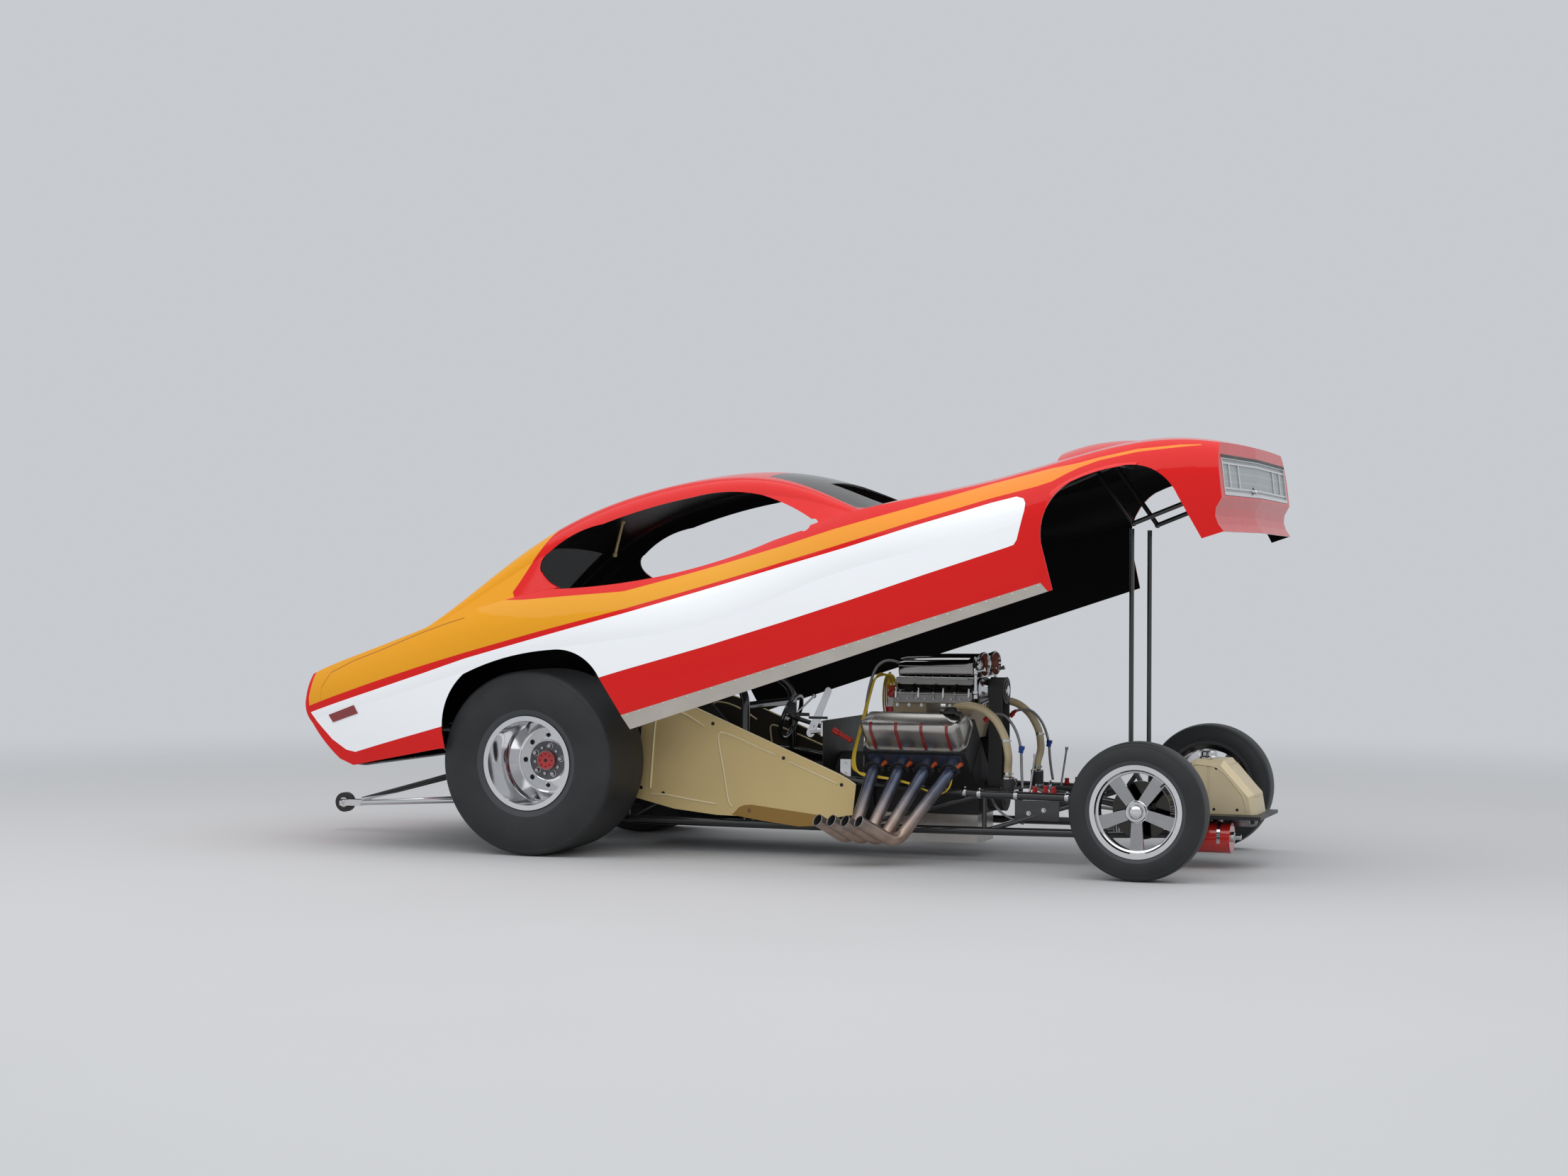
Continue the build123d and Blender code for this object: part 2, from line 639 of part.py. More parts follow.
for side, s in (("right", -1), ("left", 1)):
    frame.append(rod((2600, s * 300, 312), (ROD_X[side], s * ROD_Y, ROD_FOOT_Z - 27), BRACE_D))
    frame.append(rod((2880, s * 267, 262), (ROD_X[side], s * ROD_Y, ROD_FOOT_Z - 27), BRACE_D))
    frame.append(rod_fork(ROD_X[side], s * ROD_Y))
    frame.append(rod((-420, s * 280, 560), (PIVOT_X, s * 250, PIVOT_Z), RAIL_D))
    frame.append(rod((-420, s * 280, 200), (PIVOT_X + 20, s * 250, PIVOT_Z - 20), BRACE_D))
TOW_X, TOW_Z = 3262, 206
TIE_DOWN_Y, TIE_DOWN_Z = 242, REAR_R - 98
AXLE_W = 309
for s in (-1, 1):
    frame.append(slab_y([(-50, 180), (50, 175), (80, REAR_R), (50, 528), (-50, 532), (-80, REAR_R)], s * AXLE_W - 4,
                        s * AXLE_W + 4))
frame.append(box_at(-430, -370, -40, 40, 184, 190))
frame_rails = fuse(frame)
frame_rails = frame_rails - rod((PIVOT_X, -400, PIVOT_Z), (PIVOT_X, 400, PIVOT_Z), 31)
frame_rails = frame_rails - rod((0, -600, REAR_R), (0, 600, REAR_R), HOUSING_D + 2 * FIT)
add("frame_rails", frame_rails)

# Tow eye on the front cross tube, and two tie-down eyes under the rear axle, all coped over their tubes
EYE_T = 12
cross_x, cross_z = STATIONS[-1][0], STATIONS[-1][3]
tow_plate = slab_y([(cross_x, TOW_Z - 22), (TOW_X, TOW_Z - 24), (TOW_X, TOW_Z + 24), (cross_x, TOW_Z + 22)],
                   -EYE_T / 2, EYE_T / 2)
tow_plate = tow_plate + rod((TOW_X, -EYE_T / 2, TOW_Z), (TOW_X, EYE_T / 2, TOW_Z), 48)
tow_plate = tow_plate - rod((TOW_X, -10, TOW_Z), (TOW_X, 10, TOW_Z), 2 * EYE_R)
eyes = [tow_plate - rod((cross_x, -20, cross_z), (cross_x, 20, cross_z), BRACE_D + 2 * FIT)]
for s in (-1, 1):
    y = s * TIE_DOWN_Y
    plate = rod((-EYE_T / 2, y, TIE_DOWN_Z), (EYE_T / 2, y, TIE_DOWN_Z), 54)
    plate = plate + box_at(-EYE_T / 2, EYE_T / 2, y - 20, y + 20, TIE_DOWN_Z, REAR_R - 30)
    plate = plate - rod((-20, y, TIE_DOWN_Z), (20, y, TIE_DOWN_Z), 2 * EYE_R)
    eyes.append(plate - rod((0, y - 40, REAR_R), (0, y + 40, REAR_R), HOUSING_D + 2 * FIT))
add("tow_eyes", Compound([solid_of(eye) for eye in eyes]))

CAGE_REAR_X = 120
CAGE_FRONT_X = 900
cage = []
for s in (-1, 1):
    w, z = upper_rail(CAGE_REAR_X)
    foot = (CAGE_REAR_X, s * w, z)
    cage.append(bent_tube([foot, (CAGE_REAR_X, s * w, 880), (CAGE_REAR_X, s * 100, 1060), (CAGE_REAR_X, 0, 1060)],
                          [130, 60], CAGE_D))
    w, z = upper_rail(CAGE_FRONT_X)
    foot = (CAGE_FRONT_X, s * w, z)
    cage.append(bent_tube([foot, (CAGE_FRONT_X, s * w, 760), (600, s * 150, 1030), (CAGE_REAR_X, s * 100, 1058)],
                          [110, 110], CAGE_D))
cage.append(rod((CAGE_FRONT_X, -325, 700), (CAGE_FRONT_X, 325, 700), CAGE_D))
rails_clear = []
for a, b in zip(STATIONS[:3], STATIONS[1:4]):
    for s in (-1, 1):
        rails_clear.append(rod((a[0], s * a[1], a[3]), (b[0], s * b[1], b[3]), RAIL_D + 2 * FIT))
w, z = upper_rail(WHEELBASE)
for s in (-1, 1):
    front_axle = front_axle + box_at(WHEELBASE - 19, WHEELBASE + 19, s * w - 12, s * w + 12, z, FRONT_R)
    a, b = STATIONS[-2:]
    front_axle = front_axle - rod((a[0], s * a[1], a[3]), (b[0], s * b[1], b[3]), RAIL_D + 2 * FIT)
add("front_axle", keep_large(front_axle))
add("roll_cage", keep_large(fuse(cage) - fuse(rails_clear)))

# Cockpit side panels and floor
PANEL_Y = STATIONS[1][1] + CAGE_D / 2 + FIT
panel = slab_y([(346, 250), (386, 757), (606, 709), (1422, 376), (1466, 344), (1449, 203), (1276, 173),
                (764, 181), (546, 203)], PANEL_Y, PANEL_Y + PANEL_T)
left, right = both_sides(panel)
add("cockpit_panels", Compound([solid_of(left), solid_of(right)]))
FLOOR_Z = STATIONS[2][2] - RAIL_D / 2 - FIT - PANEL_T
floor = box_at(320, FIREWALL_X, -330, 330, FLOOR_Z, FLOOR_Z + PANEL_T)
firewall = box_at(FIREWALL_X - PANEL_T, FIREWALL_X, -302, 302, FLOOR_Z, 640) - rod((1200, 0, GEARBOX_Z), (1400, 0, GEARBOX_Z), 240)
add("floor_and_firewall", floor + firewall)

SEAT_Z = FLOOR_Z + PANEL_T + FIT
seat = box_at(314, 734, -230, 230, SEAT_Z, 700) - box_at(344, 774, -210, 210, 205, 760)
seat = seat - slab_y([(400, 800), (760, 420), (760, 800)], -300, 300) - box_at(200, 800, -70, 70, 100, 480)
add("driver_seat", seat)
wheel_ring = Pos(1010, 0, 640) * (Rot(0, -70, 0) * Torus(110, 11))
column = rod((1010, 0, 640), (1277.5, 0, 563.6), 22)
spoke_bar = Pos(1010, 0, 640) * (Rot(0, -70, 0) * Box(16, 220, 16))
add("steering_yoke", fuse([wheel_ring, column, spoke_bar]))


# Engine
def bank(s, shape):
    """Lay a piece drawn upright over the crank onto one bank of the vee."""
    return Pos(0, 0, CRANK_Z) * (Rot(-45 * s, 0, 0) * shape)


block = box_at(ENGINE_X0, ENGINE_X1, -150, 150, CRANK_Z - 95, CRANK_Z + 70)
block = block + box_at(ENGINE_X1 - 1, ENGINE_X1 + 14, -128, -62, CRANK_Z - 80, CRANK_Z + 60)
block = block + rod((ENGINE_X1 - 1, -112, CRANK_Z + 20), (ENGINE_X1 + 96, -112, CRANK_Z + 20), 44)
for s in (-1, 1):
    block = block + bank(s, box_at(ENGINE_X0, ENGINE_X1, -95, 95, 20, 262))
add("engine_block", block)
add("oil_pan", box_at(ENGINE_X0 + 10, ENGINE_X1 - 10, -130, 130, 70, CRANK_Z - 95 - FIT))
HEAD_OUT = 110
HEAD_IN = -105
DECK_H, COVER_H = 262, 400
heads = [bank(s, box_at(ENGINE_X0 + 5, ENGINE_X1 - 5, s * HEAD_IN, s * HEAD_OUT, DECK_H + FIT, COVER_H)) for s in (-1, 1)]
add("cylinder_heads", Compound([solid_of(h) for h in heads]))

# Valve cover section, across the bank and along it
COVER_SECTION = [
    (-98, COVER_H + 10), (-98, 452), (0, 550), (60, 556), (92, 540), (98, 500), (98, COVER_H + 10),
]


def valve_cover(s):
    """Cast cover with rounded ends and four ribs down its outer face."""
    middle_x, length = (ENGINE_X0 + ENGINE_X1) / 2, ENGINE_X1 - ENGINE_X0
    face = make_face(Polyline(*[(ENGINE_X0, s * t, h) for t, h in COVER_SECTION], close=True))
    dome = extrude(face, length, dir=(1, 0, 0))
    dome = fillet(dome.edges().filter_by(Axis.X).sort_by(Axis.Z)[-4:], 18)
    dome = dome & Pos(middle_x, 0, COVER_H + 5) * extrude(RectangleRounded(length - 34, 200, 45), 200)
    flange = Pos(middle_x, 0, COVER_H + FIT) * extrude(RectangleRounded(length - 14, 216, 52), 11.7)
    cover = dome + flange
    rib = [(56, 548), (60, 559), (94, 544), (101.5, 502), (101.5, COVER_H + 8), (90, COVER_H + 8), (90, 500)]
    for i in range(4):
        x = ENGINE_X0 + length * (0.14 + 0.24 * i)
        face = make_face(Polyline(*[(x - 4, s * t, h) for t, h in rib], close=True))
        cover = cover + extrude(face, 8, dir=(1, 0, 0))
    return bank(s, cover)


add("valve_covers", Compound([solid_of(valve_cover(1)), solid_of(valve_cover(-1))]))


def across(t, h):
    """Height and half width, on the car, of a point of one bank."""
    r = math.sqrt(0.5)
    return r * (t + h), CRANK_Z + r * (h - t)


low_y, low_z = across(HEAD_IN - FIT, DECK_H)
high_y, high_z = across(HEAD_IN - FIT, COVER_H - 4)
section = [(low_y, low_z), (high_y, high_z), (118, high_z + 20), (118, 728)]
section = section + [(-y, z) for y, z in reversed(section)]
MANIFOLD_X0, MANIFOLD_LENGTH = 1572, 388
face = make_face(Polyline(*[(MANIFOLD_X0, y, z) for y, z in section], close=True))
manifold = extrude(face, MANIFOLD_LENGTH, dir=(1, 0, 0))
manifold = manifold - box_at(1735, 1830, -150, 150, high_z + 8, 722)
add("intake_manifold", manifold)
CASE_X0, CASE_X1, CASE_LOW, CASE_TOP = 1590, 1970, 728, 836
# Blower case, half outline in y and z; the second one is for its ribs and end plates
CASE_SECTION = [(158, CASE_LOW + FIT), (158, 744), (146, 744), (146, 776), (112, 812), (112, 822), (138, 822),
                (138, CASE_TOP)]
CASE_RIB = [(152, 740), (152, 779), (117, 816), (117, 826)]


def whole_section(half_outline, x):
    """Face in the y-z plane at x, mirrored from its half outline."""
    points = half_outline + [(-y, z) for y, z in reversed(half_outline)]
    return make_face(Polyline(*[(x, y, z) for y, z in points], close=True))


case = extrude(whole_section(CASE_SECTION, CASE_X0), CASE_X1 - CASE_X0, dir=(1, 0, 0))
for x, thickness in ((CASE_X0, 12), (1672, 9), (1776, 9), (1880, 9), (CASE_X1 - 12, 12)):
    case = case + extrude(whole_section(CASE_RIB, x), thickness, dir=(1, 0, 0))
add("blower_case", case)

# Injector hat: a low scoop that opens forward in two flared mouths
HAT_X0, HAT_X1, MOUTH_X = 1600, 1950, 2088
HAT_TOP = 958
MOUTH_Y, MOUTH_Z, MOUTH_HALF_Y, MOUTH_HALF_Z = 94, 909, 92, 58
hat = extrude(whole_section([(140, CASE_TOP + FIT), (150, 850), (158, 900), (120, 944), (60, HAT_TOP - 8)], HAT_X0),
              HAT_X1 - HAT_X0, dir=(1, 0, 0))
wedge = slab_y([(HAT_X0 - 10, 925), (HAT_X0 - 10, 1000), (1800, 1000), (1800, HAT_TOP - 6)], -200, 200)
hat = hat - wedge


def mouth_face(x, half_y, half_z, y, z):
    return Plane(origin=(x, y, z), x_dir=(0, 1, 0), z_dir=(1, 0, 0)) * Ellipse(half_y, half_z)


for s in (-1, 1):
    y = s * MOUTH_Y
    trumpet = loft([mouth_face(HAT_X1 - 30, 66, 42, s * 76, 898), mouth_face(2040, 72, 46, s * 82, 902),
                    mouth_face(MOUTH_X, MOUTH_HALF_Y, MOUTH_HALF_Z, y, MOUTH_Z)])
    hat = hat + trumpet
for s in (-1, 1):
    y = s * MOUTH_Y
    throat = loft([mouth_face(HAT_X1 - 120, 54, 32, s * 70, 896), mouth_face(2040, 67, 41, s * 82, 902),
                   mouth_face(MOUTH_X + 0.5, MOUTH_HALF_Y - 4, MOUTH_HALF_Z - 4, y, MOUTH_Z)])
    hat = hat - throat
add("injector_hat", hat)

# Blower drive: two flanged pulleys, the belt round them and the socket for an outside starter
BELT_X0, BELT_X1, BELT_T = 2028, 2092, 6
TOP_PULLEY_Z, TOP_PULLEY_R, CRANK_PULLEY_R = 785, 56, 76


def belt_outline(grow):
    """Outer form of the belt loop: both rounds and the straight runs between them."""
    top_r, low_r = TOP_PULLEY_R + grow, CRANK_PULLEY_R + grow
    span = TOP_PULLEY_Z - CRANK_Z
    lean = math.asin((low_r - top_r) / span)
    runs = [(low_r * math.cos(lean), CRANK_Z + low_r * math.sin(lean)),
            (top_r * math.cos(lean), TOP_PULLEY_Z + top_r * math.sin(lean))]
    face = whole_section(runs, BELT_X0)
    loop = extrude(face, BELT_X1 - BELT_X0, dir=(1, 0, 0))
    loop = loop + rod((BELT_X0, 0, CRANK_Z), (BELT_X1, 0, CRANK_Z), 2 * low_r)
    return loop + rod((BELT_X0, 0, TOP_PULLEY_Z), (BELT_X1, 0, TOP_PULLEY_Z), 2 * top_r)


belt = belt_outline(FIT + BELT_T) - belt_outline(FIT)
pulleys = []
for z, r, shaft_x, shaft_d in ((TOP_PULLEY_Z, TOP_PULLEY_R, CASE_X1 + FIT, 90), (CRANK_Z, CRANK_PULLEY_R, ENGINE_X1 + FIT, 110)):
    pulley = rod((shaft_x, 0, z), (BELT_X1 + 8, 0, z), shaft_d)
    pulley = pulley + rod((BELT_X0 - 5, 0, z), (BELT_X1 + 5, 0, z), 2 * r)
    for x in (BELT_X0 - 5, BELT_X1 + 1):
        pulley = pulley + rod((x, 0, z), (x + 4, 0, z), 2 * r + 16)
    pulleys.append(pulley)
socket_d = 32
pulleys[0] = pulleys[0] - rod((2069, 0, TOP_PULLEY_Z), (2101, 0, TOP_PULLEY_Z), socket_d)
add("blower_drive", Compound([solid_of(belt)] + [solid_of(p) for p in pulleys]))

mag_profile = [(0, 470), (20, 470), (20, 560), (42, 566), (42, 650), (34, 660), (34, 700), (24, 706), (20, 748),
               (28, 752), (28, 766), (12, 786), (0, 786)]
mag = revolve(make_face(Polyline(*[(r, 0, z) for r, z in mag_profile], close=True)), axis=Axis.Z)
add("magneto", Pos(MANIFOLD_X0 - 42 - FIT, 0, 0) * mag)

PORT_H = 350
headers = []
for s in (-1, 1):
    pipes = []
    for i, x in enumerate(PORT_X):
        low_x = 1530 + 72 * i
        tip_x = 1425 + 66 * i
        start_y, start_z = across(HEAD_OUT + FIT + 5, PORT_H)
        path = [(x, s * start_y, start_z), (x - 5, s * 402, 408), (low_x, s * 610, 105), (tip_x, s * 775, 214)]
        pipe = bent_tube(path, [70, 75], PIPE_D)
        tip, before = Vector(*path[3]), Vector(*path[2])
        way = (tip - before).normalized()
        bore_start = tip - way * 70
        pipe = pipe - rod(tuple(bore_start), tuple(tip + way * 10), PIPE_D - 2 * PIPE_WALL)
        pipes.append(solid_of(pipe))
    flange = box_at(PORT_X[0] - 45, PORT_X[-1] + 45, s * (HEAD_OUT + FIT), s * (HEAD_OUT + 9), PORT_H - 34, PORT_H + 34)
    flange = bank(s, flange)
    headers.append(solid_of(fuse(pipes + [flange])))
add("exhaust_headers", Compound(headers))

# Breather hoses from the top of the valve covers down to the catch cans
HOSE_D = 37
HOSE_ROUTE = [
    (1928, 292, 690.6), (1930, 292, 716), (1990, 298, 728), (2065, 302, 714), (2130, 304, 664), (2176, 304, 580),
    (2188, 290, 490), (2176, 262, 436), (2176, 262, 392),
]
CAN_R = 30
CAN_TOP, CAN_LOW = 392, 300


def route_radii(points):
    """The largest even arcs that the runs of a route allow."""
    radii = []
    for a, b, c in zip(points, points[1:], points[2:]):
        u, v = Vector(*b) - Vector(*a), Vector(*c) - Vector(*b)
        half = math.radians(u.get_angle(v)) / 2
        radii.append(0.45 * min(u.length, v.length) / math.tan(half))
    return radii


hoses, cans = [], []
for s in (-1, 1):
    points = [(x, s * y, z) for x, y, z in HOSE_ROUTE]
    points[-1] = (points[-1][0], points[-1][1], CAN_TOP + FIT)
    radii = route_radii(points)
    hoses.append(solid_of(bent_tube(points, radii, HOSE_D)))
    x, y, _ = points[-1]
    can = rod((x, y, CAN_LOW), (x, y, CAN_TOP), 2 * CAN_R)
    w, z = upper_rail(x)
    rail_top = z + RAIL_D / 2 + FIT
    can = can + box_at(x - 18, x + 18, min(y, s * w), max(y, s * w), rail_top, rail_top + 4)
    cans.append(solid_of(can))
print("hose radii", [round(r) for r in radii])
add("breather_hoses", Compound(hoses))
add("catch_cans", Compound(cans))

# Clutch housing and gearbox, in front of the driver's feet
bell = rod((1290, 0, CRANK_Z), (ENGINE_X0 - FIT, 0, CRANK_Z), 360)
gearbox = rod((780, 0, GEARBOX_Z), (1290, 0, GEARBOX_Z), 230)
tail_shaft = rod((240, 0, 420), (790, 0, 300), 80)
add("clutch_and_gearbox", fuse([bell, gearbox, tail_shaft]))

# Fuel tank, tray and fire bottle in front of the axle
TRAY_TOP = 247
TANK_HALF = 125
TANK_CHAMFER = 26
TANK_OUTLINE = [(2980, TRAY_TOP + FIT), (2980, 470), (3020, 492), (3150, 492), (3290, 338), (3305, TRAY_TOP + FIT)]
tank = slab_y(TANK_OUTLINE, -TANK_HALF, TANK_HALF)
side_edges = [e for e in tank.edges() if abs(abs(e.center().Y) - TANK_HALF) < 0.1 and e.center().Z > TRAY_TOP + 5]
tank = chamfer(side_edges, TANK_CHAMFER)
groove = box_at(3078, 3090, -200, 200, 200, 600)
tank = tank - (groove - (groove & slab_y([(3070, 200), (3070, 488), (3100, 488), (3100, 200)], -TANK_HALF + 4, TANK_HALF - 4)))
add("fuel_tank", tank)
tray = box_at(2970, 3340, -222, 222, STATIONS[-1][3] + BRACE_D / 2 + FIT, TRAY_TOP)
add("front_tray", tray)
BOTTLE_D = 138
bottle_z = STATIONS[-1][3] - BRACE_D / 2 - FIT - BOTTLE_D / 2
add("fire_bottle", rod((2930, -130, bottle_z), (3195, -130, bottle_z), BOTTLE_D))

# Wheelie bar
WB_X, WB_Z = -1441, 144
WB_FRONT_X = STATIONS[0][0] - BRACE_D / 2 - 12.5 - FIT
bar = []
for s in (-1, 1):
    bar.append(rod((WB_FRONT_X, s * 150, 200), (WB_X + 104, s * 20, WB_Z), 25))
    bar.append(rod((WB_FRONT_X, s * 150, 400), (WB_X + 110, s * 20, WB_Z + 20), 22))
bar.append(rod((WB_FRONT_X, -250, 200), (WB_FRONT_X, 250, 200), 25))
bar.append(rod((WB_FRONT_X, -250, 400), (WB_FRONT_X, 250, 400), 25))
for s in (-1, 1):
    bar.append(box_at(WB_X - 20, WB_X + 110, s * 25 - 4, s * 25 + 4, WB_Z - 16, WB_Z + 16))
bar.append(rod((WB_X + 104, -26, WB_Z), (WB_X + 104, 26, WB_Z), 22))
bar.append(rod((WB_X, -26, WB_Z), (WB_X, 26, WB_Z), 12))
add("wheelie_bar", fuse(bar))
small_wheel = Pos(WB_X, 0, WB_Z) * (Rot(90, 0, 0) * Cylinder(50, 34))
add("wheelie_wheel", small_wheel - rod((WB_X, -30, WB_Z), (WB_X, 30, WB_Z), 12.6))

whole = Compound([solid for shape in NODES.values() for solid in shape.solids()])
box = whole.bounding_box()
middle_x = round((box.min.X + box.max.X) / 2, 3)
ground_z = round(box.min.Z, 3)
SHIFT = Pos(-middle_x, 0, -ground_z)
print("shift x", -middle_x, "z", -ground_z, "y centre", round((box.min.Y + box.max.Y) / 2, 3))

os.makedirs("parts", exist_ok=True)
for name, shape in NODES.items():
    export_step(SHIFT * shape, f"parts/{name}.step")
print(len(NODES), "nodes")
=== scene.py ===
import math

import bmesh
import bpy
from mathutils import Matrix, Vector
from mathutils.bvhtree import BVHTree


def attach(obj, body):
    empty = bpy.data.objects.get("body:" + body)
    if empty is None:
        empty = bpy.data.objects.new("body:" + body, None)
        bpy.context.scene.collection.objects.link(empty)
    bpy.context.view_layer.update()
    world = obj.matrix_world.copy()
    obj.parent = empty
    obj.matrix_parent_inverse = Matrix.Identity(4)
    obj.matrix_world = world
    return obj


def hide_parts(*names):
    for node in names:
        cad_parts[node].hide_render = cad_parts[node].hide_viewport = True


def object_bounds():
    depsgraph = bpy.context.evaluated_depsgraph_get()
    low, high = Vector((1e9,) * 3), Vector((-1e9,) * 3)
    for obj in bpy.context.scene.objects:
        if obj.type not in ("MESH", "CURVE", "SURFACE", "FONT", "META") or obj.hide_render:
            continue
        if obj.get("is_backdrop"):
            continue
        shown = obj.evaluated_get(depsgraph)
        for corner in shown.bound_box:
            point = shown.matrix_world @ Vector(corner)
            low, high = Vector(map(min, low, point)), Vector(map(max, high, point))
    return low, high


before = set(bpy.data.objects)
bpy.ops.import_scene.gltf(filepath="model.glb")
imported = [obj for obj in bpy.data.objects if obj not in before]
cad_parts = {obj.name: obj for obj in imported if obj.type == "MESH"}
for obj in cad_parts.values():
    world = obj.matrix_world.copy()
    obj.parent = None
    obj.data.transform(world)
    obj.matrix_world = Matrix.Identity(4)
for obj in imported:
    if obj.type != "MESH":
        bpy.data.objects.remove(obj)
cad_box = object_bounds()

# Viewpoint. The car is seen from its right side, a little ahead of the middle, from a
# standing height, through a moderately long lens.
REAR_AXLE_X = -0.9245
CAMERA_PLACE = Vector((5.599 + REAR_AXLE_X, -12.529, 1.338))
TURN, RISE, ROLL = math.radians(20.27), math.radians(0.32), math.radians(0.22)
FOCAL_PIXELS, PIXELS_ACROSS, SENSOR_MM = 3872, 2212, 36

back = Vector((math.sin(TURN) * math.cos(RISE), -math.cos(TURN) * math.cos(RISE), math.sin(RISE)))
right = (-back).cross(Vector((0, 0, 1))).normalized()
up = right.cross(-back)
rolled = (right * math.cos(ROLL) + up * math.sin(ROLL), up * math.cos(ROLL) - right * math.sin(ROLL), back)
view = bpy.data.cameras.new("camera")
view.lens = FOCAL_PIXELS / PIXELS_ACROSS * SENSOR_MM
view.sensor_width = SENSOR_MM
view.sensor_fit = "HORIZONTAL"
camera = bpy.data.objects.new("camera", view)
camera.matrix_world = Matrix.Translation(CAMERA_PLACE) @ Matrix(rolled).transposed().to_4x4()
bpy.context.scene.collection.objects.link(camera)
bpy.context.scene.camera = camera


# Chassis. Round steel tubes, welded and painted gloss black, with the roll cage over the
# driver and the fork posts of the prop rods. Bright clamps hold the lines on the top rails.
def plug(made, inputs):
    """Give a shader node its inputs: each is a value, or the output of another node."""
    for name, value in inputs.items():
        socket = made.inputs[name]
        if isinstance(value, bpy.types.NodeSocket):
            made.id_data.links.new(value, socket)
        else:
            socket.default_value = (*value, 1) if socket.type == "RGBA" else value


def node(tree, kind, inputs=None, **settings):
    """A shader node with its settings and its inputs."""
    made = tree.nodes.new("ShaderNode" + kind)
    for name, value in settings.items():
        setattr(made, name, value)
    plug(made, inputs or {})
    return made


def blend(factor, a, b):
    """Colour b over colour a where the factor is 1."""
    return node(factor.id_data, "Mix", {"Factor": factor, "A": a, "B": b}, data_type="RGBA").outputs["Result"]


def shader(material):
    return material.node_tree.nodes["Principled BSDF"]


def finish(name, color, roughness, metallic=0.0, bump=0.0, bump_scale=300.0, stretch=(1, 1, 1), mottle=0.0,
           mottle_scale=8.0, coat=0.0, specular=0.5):
    """A finish with grain, mottling and uneven gloss, worked out from the place on the object."""
    material = bpy.data.materials.new(name)
    material.use_nodes = True
    tree = material.node_tree
    place = node(tree, "TexCoord").outputs["Object"]
    broad = node(tree, "TexNoise", {"Vector": place, "Scale": mottle_scale, "Detail": 6}).outputs["Fac"]
    dark = [c * (1 - 0.5 * mottle) for c in color]
    light = [min(1, c * (1 + 0.4 * mottle) + 0.03 * mottle) for c in color]
    gloss = node(tree, "MapRange", {"Value": broad, "To Min": max(0.02, 0.75 * roughness),
                                    "To Max": min(1, 1.35 * roughness)})
    plug(shader(material), {"Base Color": blend(broad, dark, light), "Metallic": metallic,
                            "Roughness": gloss.outputs["Result"], "Specular IOR Level": specular,
                            "Coat Weight": coat, "Coat Roughness": 0.04})
    if bump:
        stretched = node(tree, "Mapping", {"Vector": place, "Scale": stretch}).outputs["Vector"]
        fine = node(tree, "TexNoise", {"Vector": stretched, "Scale": bump_scale, "Detail": 3}).outputs["Fac"]
        relief = node(tree, "Bump", {"Height": fine, "Strength": bump, "Distance": 0.001})
        plug(shader(material), {"Normal": relief.outputs["Normal"]})
    return material


def dress(material, *names):
    """Give CAD pieces their finish."""
    for name in names:
        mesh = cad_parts[name].data
        mesh.materials.clear()
        mesh.materials.append(material)


def mm(x, y, z):
    """A step in millimetres, as a step of the frame."""
    return Vector((x, y, z)) / 1000


def at(x, y, z):
    """A place given in millimetres from the rear axle, on the ground, as a point of the frame."""
    return mm(x, y, z) + Vector((REAR_AXLE_X, 0, 0))


def oval(centre, a, b, count, start=0.0):
    """Points round an oval, from its middle and its two half axes in millimetres."""
    angles = [math.tau * (i + start) / count for i in range(count)]
    return [centre + (Vector(a) * math.cos(t) + Vector(b) * math.sin(t)) / 1000 for t in angles]


def skin(bm, rings, ends=False, closed=False):
    """Skin from each ring of points to the next; a ring of one point is a tip."""
    rings = [[bm.verts.new(point) for point in ring] for ring in rings]
    for a, b in zip(rings, rings[1:] + rings[:closed]):
        for i in range(max(len(a), len(b))):
            corners = a[i % len(a)], a[(i + 1) % len(a)], b[(i + 1) % len(b)], b[i % len(b)]
            bm.faces.new(list(dict.fromkeys(corners)))
    if ends:
        bm.faces.new(rings[0])
        bm.faces.new(rings[-1])


UP, AHEAD = (0, 0, 1), (1, 0, 0)


def turned(bm, profile, centre, axis, steps=24):
    """Turn a profile of (distance along the axis, radius), in millimetres, about the axis."""
    axis = Vector(axis).normalized()
    side = axis.orthogonal().normalized()
    other = axis.cross(side)
    skin(bm, [oval(centre + axis * along / 1000, side * radius, other * radius, steps if radius else 1)
              for along, radius in profile])


def block(bm, middle, sizes, bevel=1.0, turn=Matrix()):
    """A block with bevelled edges; its middle is a point of the frame, its sizes are in millimetres."""
    place = Matrix.Translation(middle) @ turn @ Matrix.Diagonal([s / 1000 for s in sizes] + [1])
    made = bmesh.ops.create_cube(bm, size=1, matrix=place)["verts"]
    edges = list({e for v in made for e in v.link_edges})
    bmesh.ops.bevel(bm, geom=edges, offset=bevel / 1000, segments=2, affect="EDGES", profile=0.6)


def put_on(name, data, material, body):
    """Place finished geometry in the scene, riding on a body."""
    data.materials.append(material)
    made = bpy.data.objects.new(name, data)
    bpy.context.scene.collection.objects.link(made)
    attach(made, body)
    return made


def piece(name, bm, material, body="chassis"):
    """Close a mesh up as a piece that rides on a body, smooth but for its sharp edges."""
    bmesh.ops.recalc_face_normals(bm, faces=bm.faces)
    for edge in bm.edges:
        if len(edge.link_faces) == 2 and edge.calc_face_angle() > math.radians(35):
            edge.smooth = False
    for face in bm.faces:
        face.smooth = True
    mesh = bpy.data.meshes.new(name)
    bm.to_mesh(mesh)
    bm.free()
    return put_on(name, mesh, material, body)


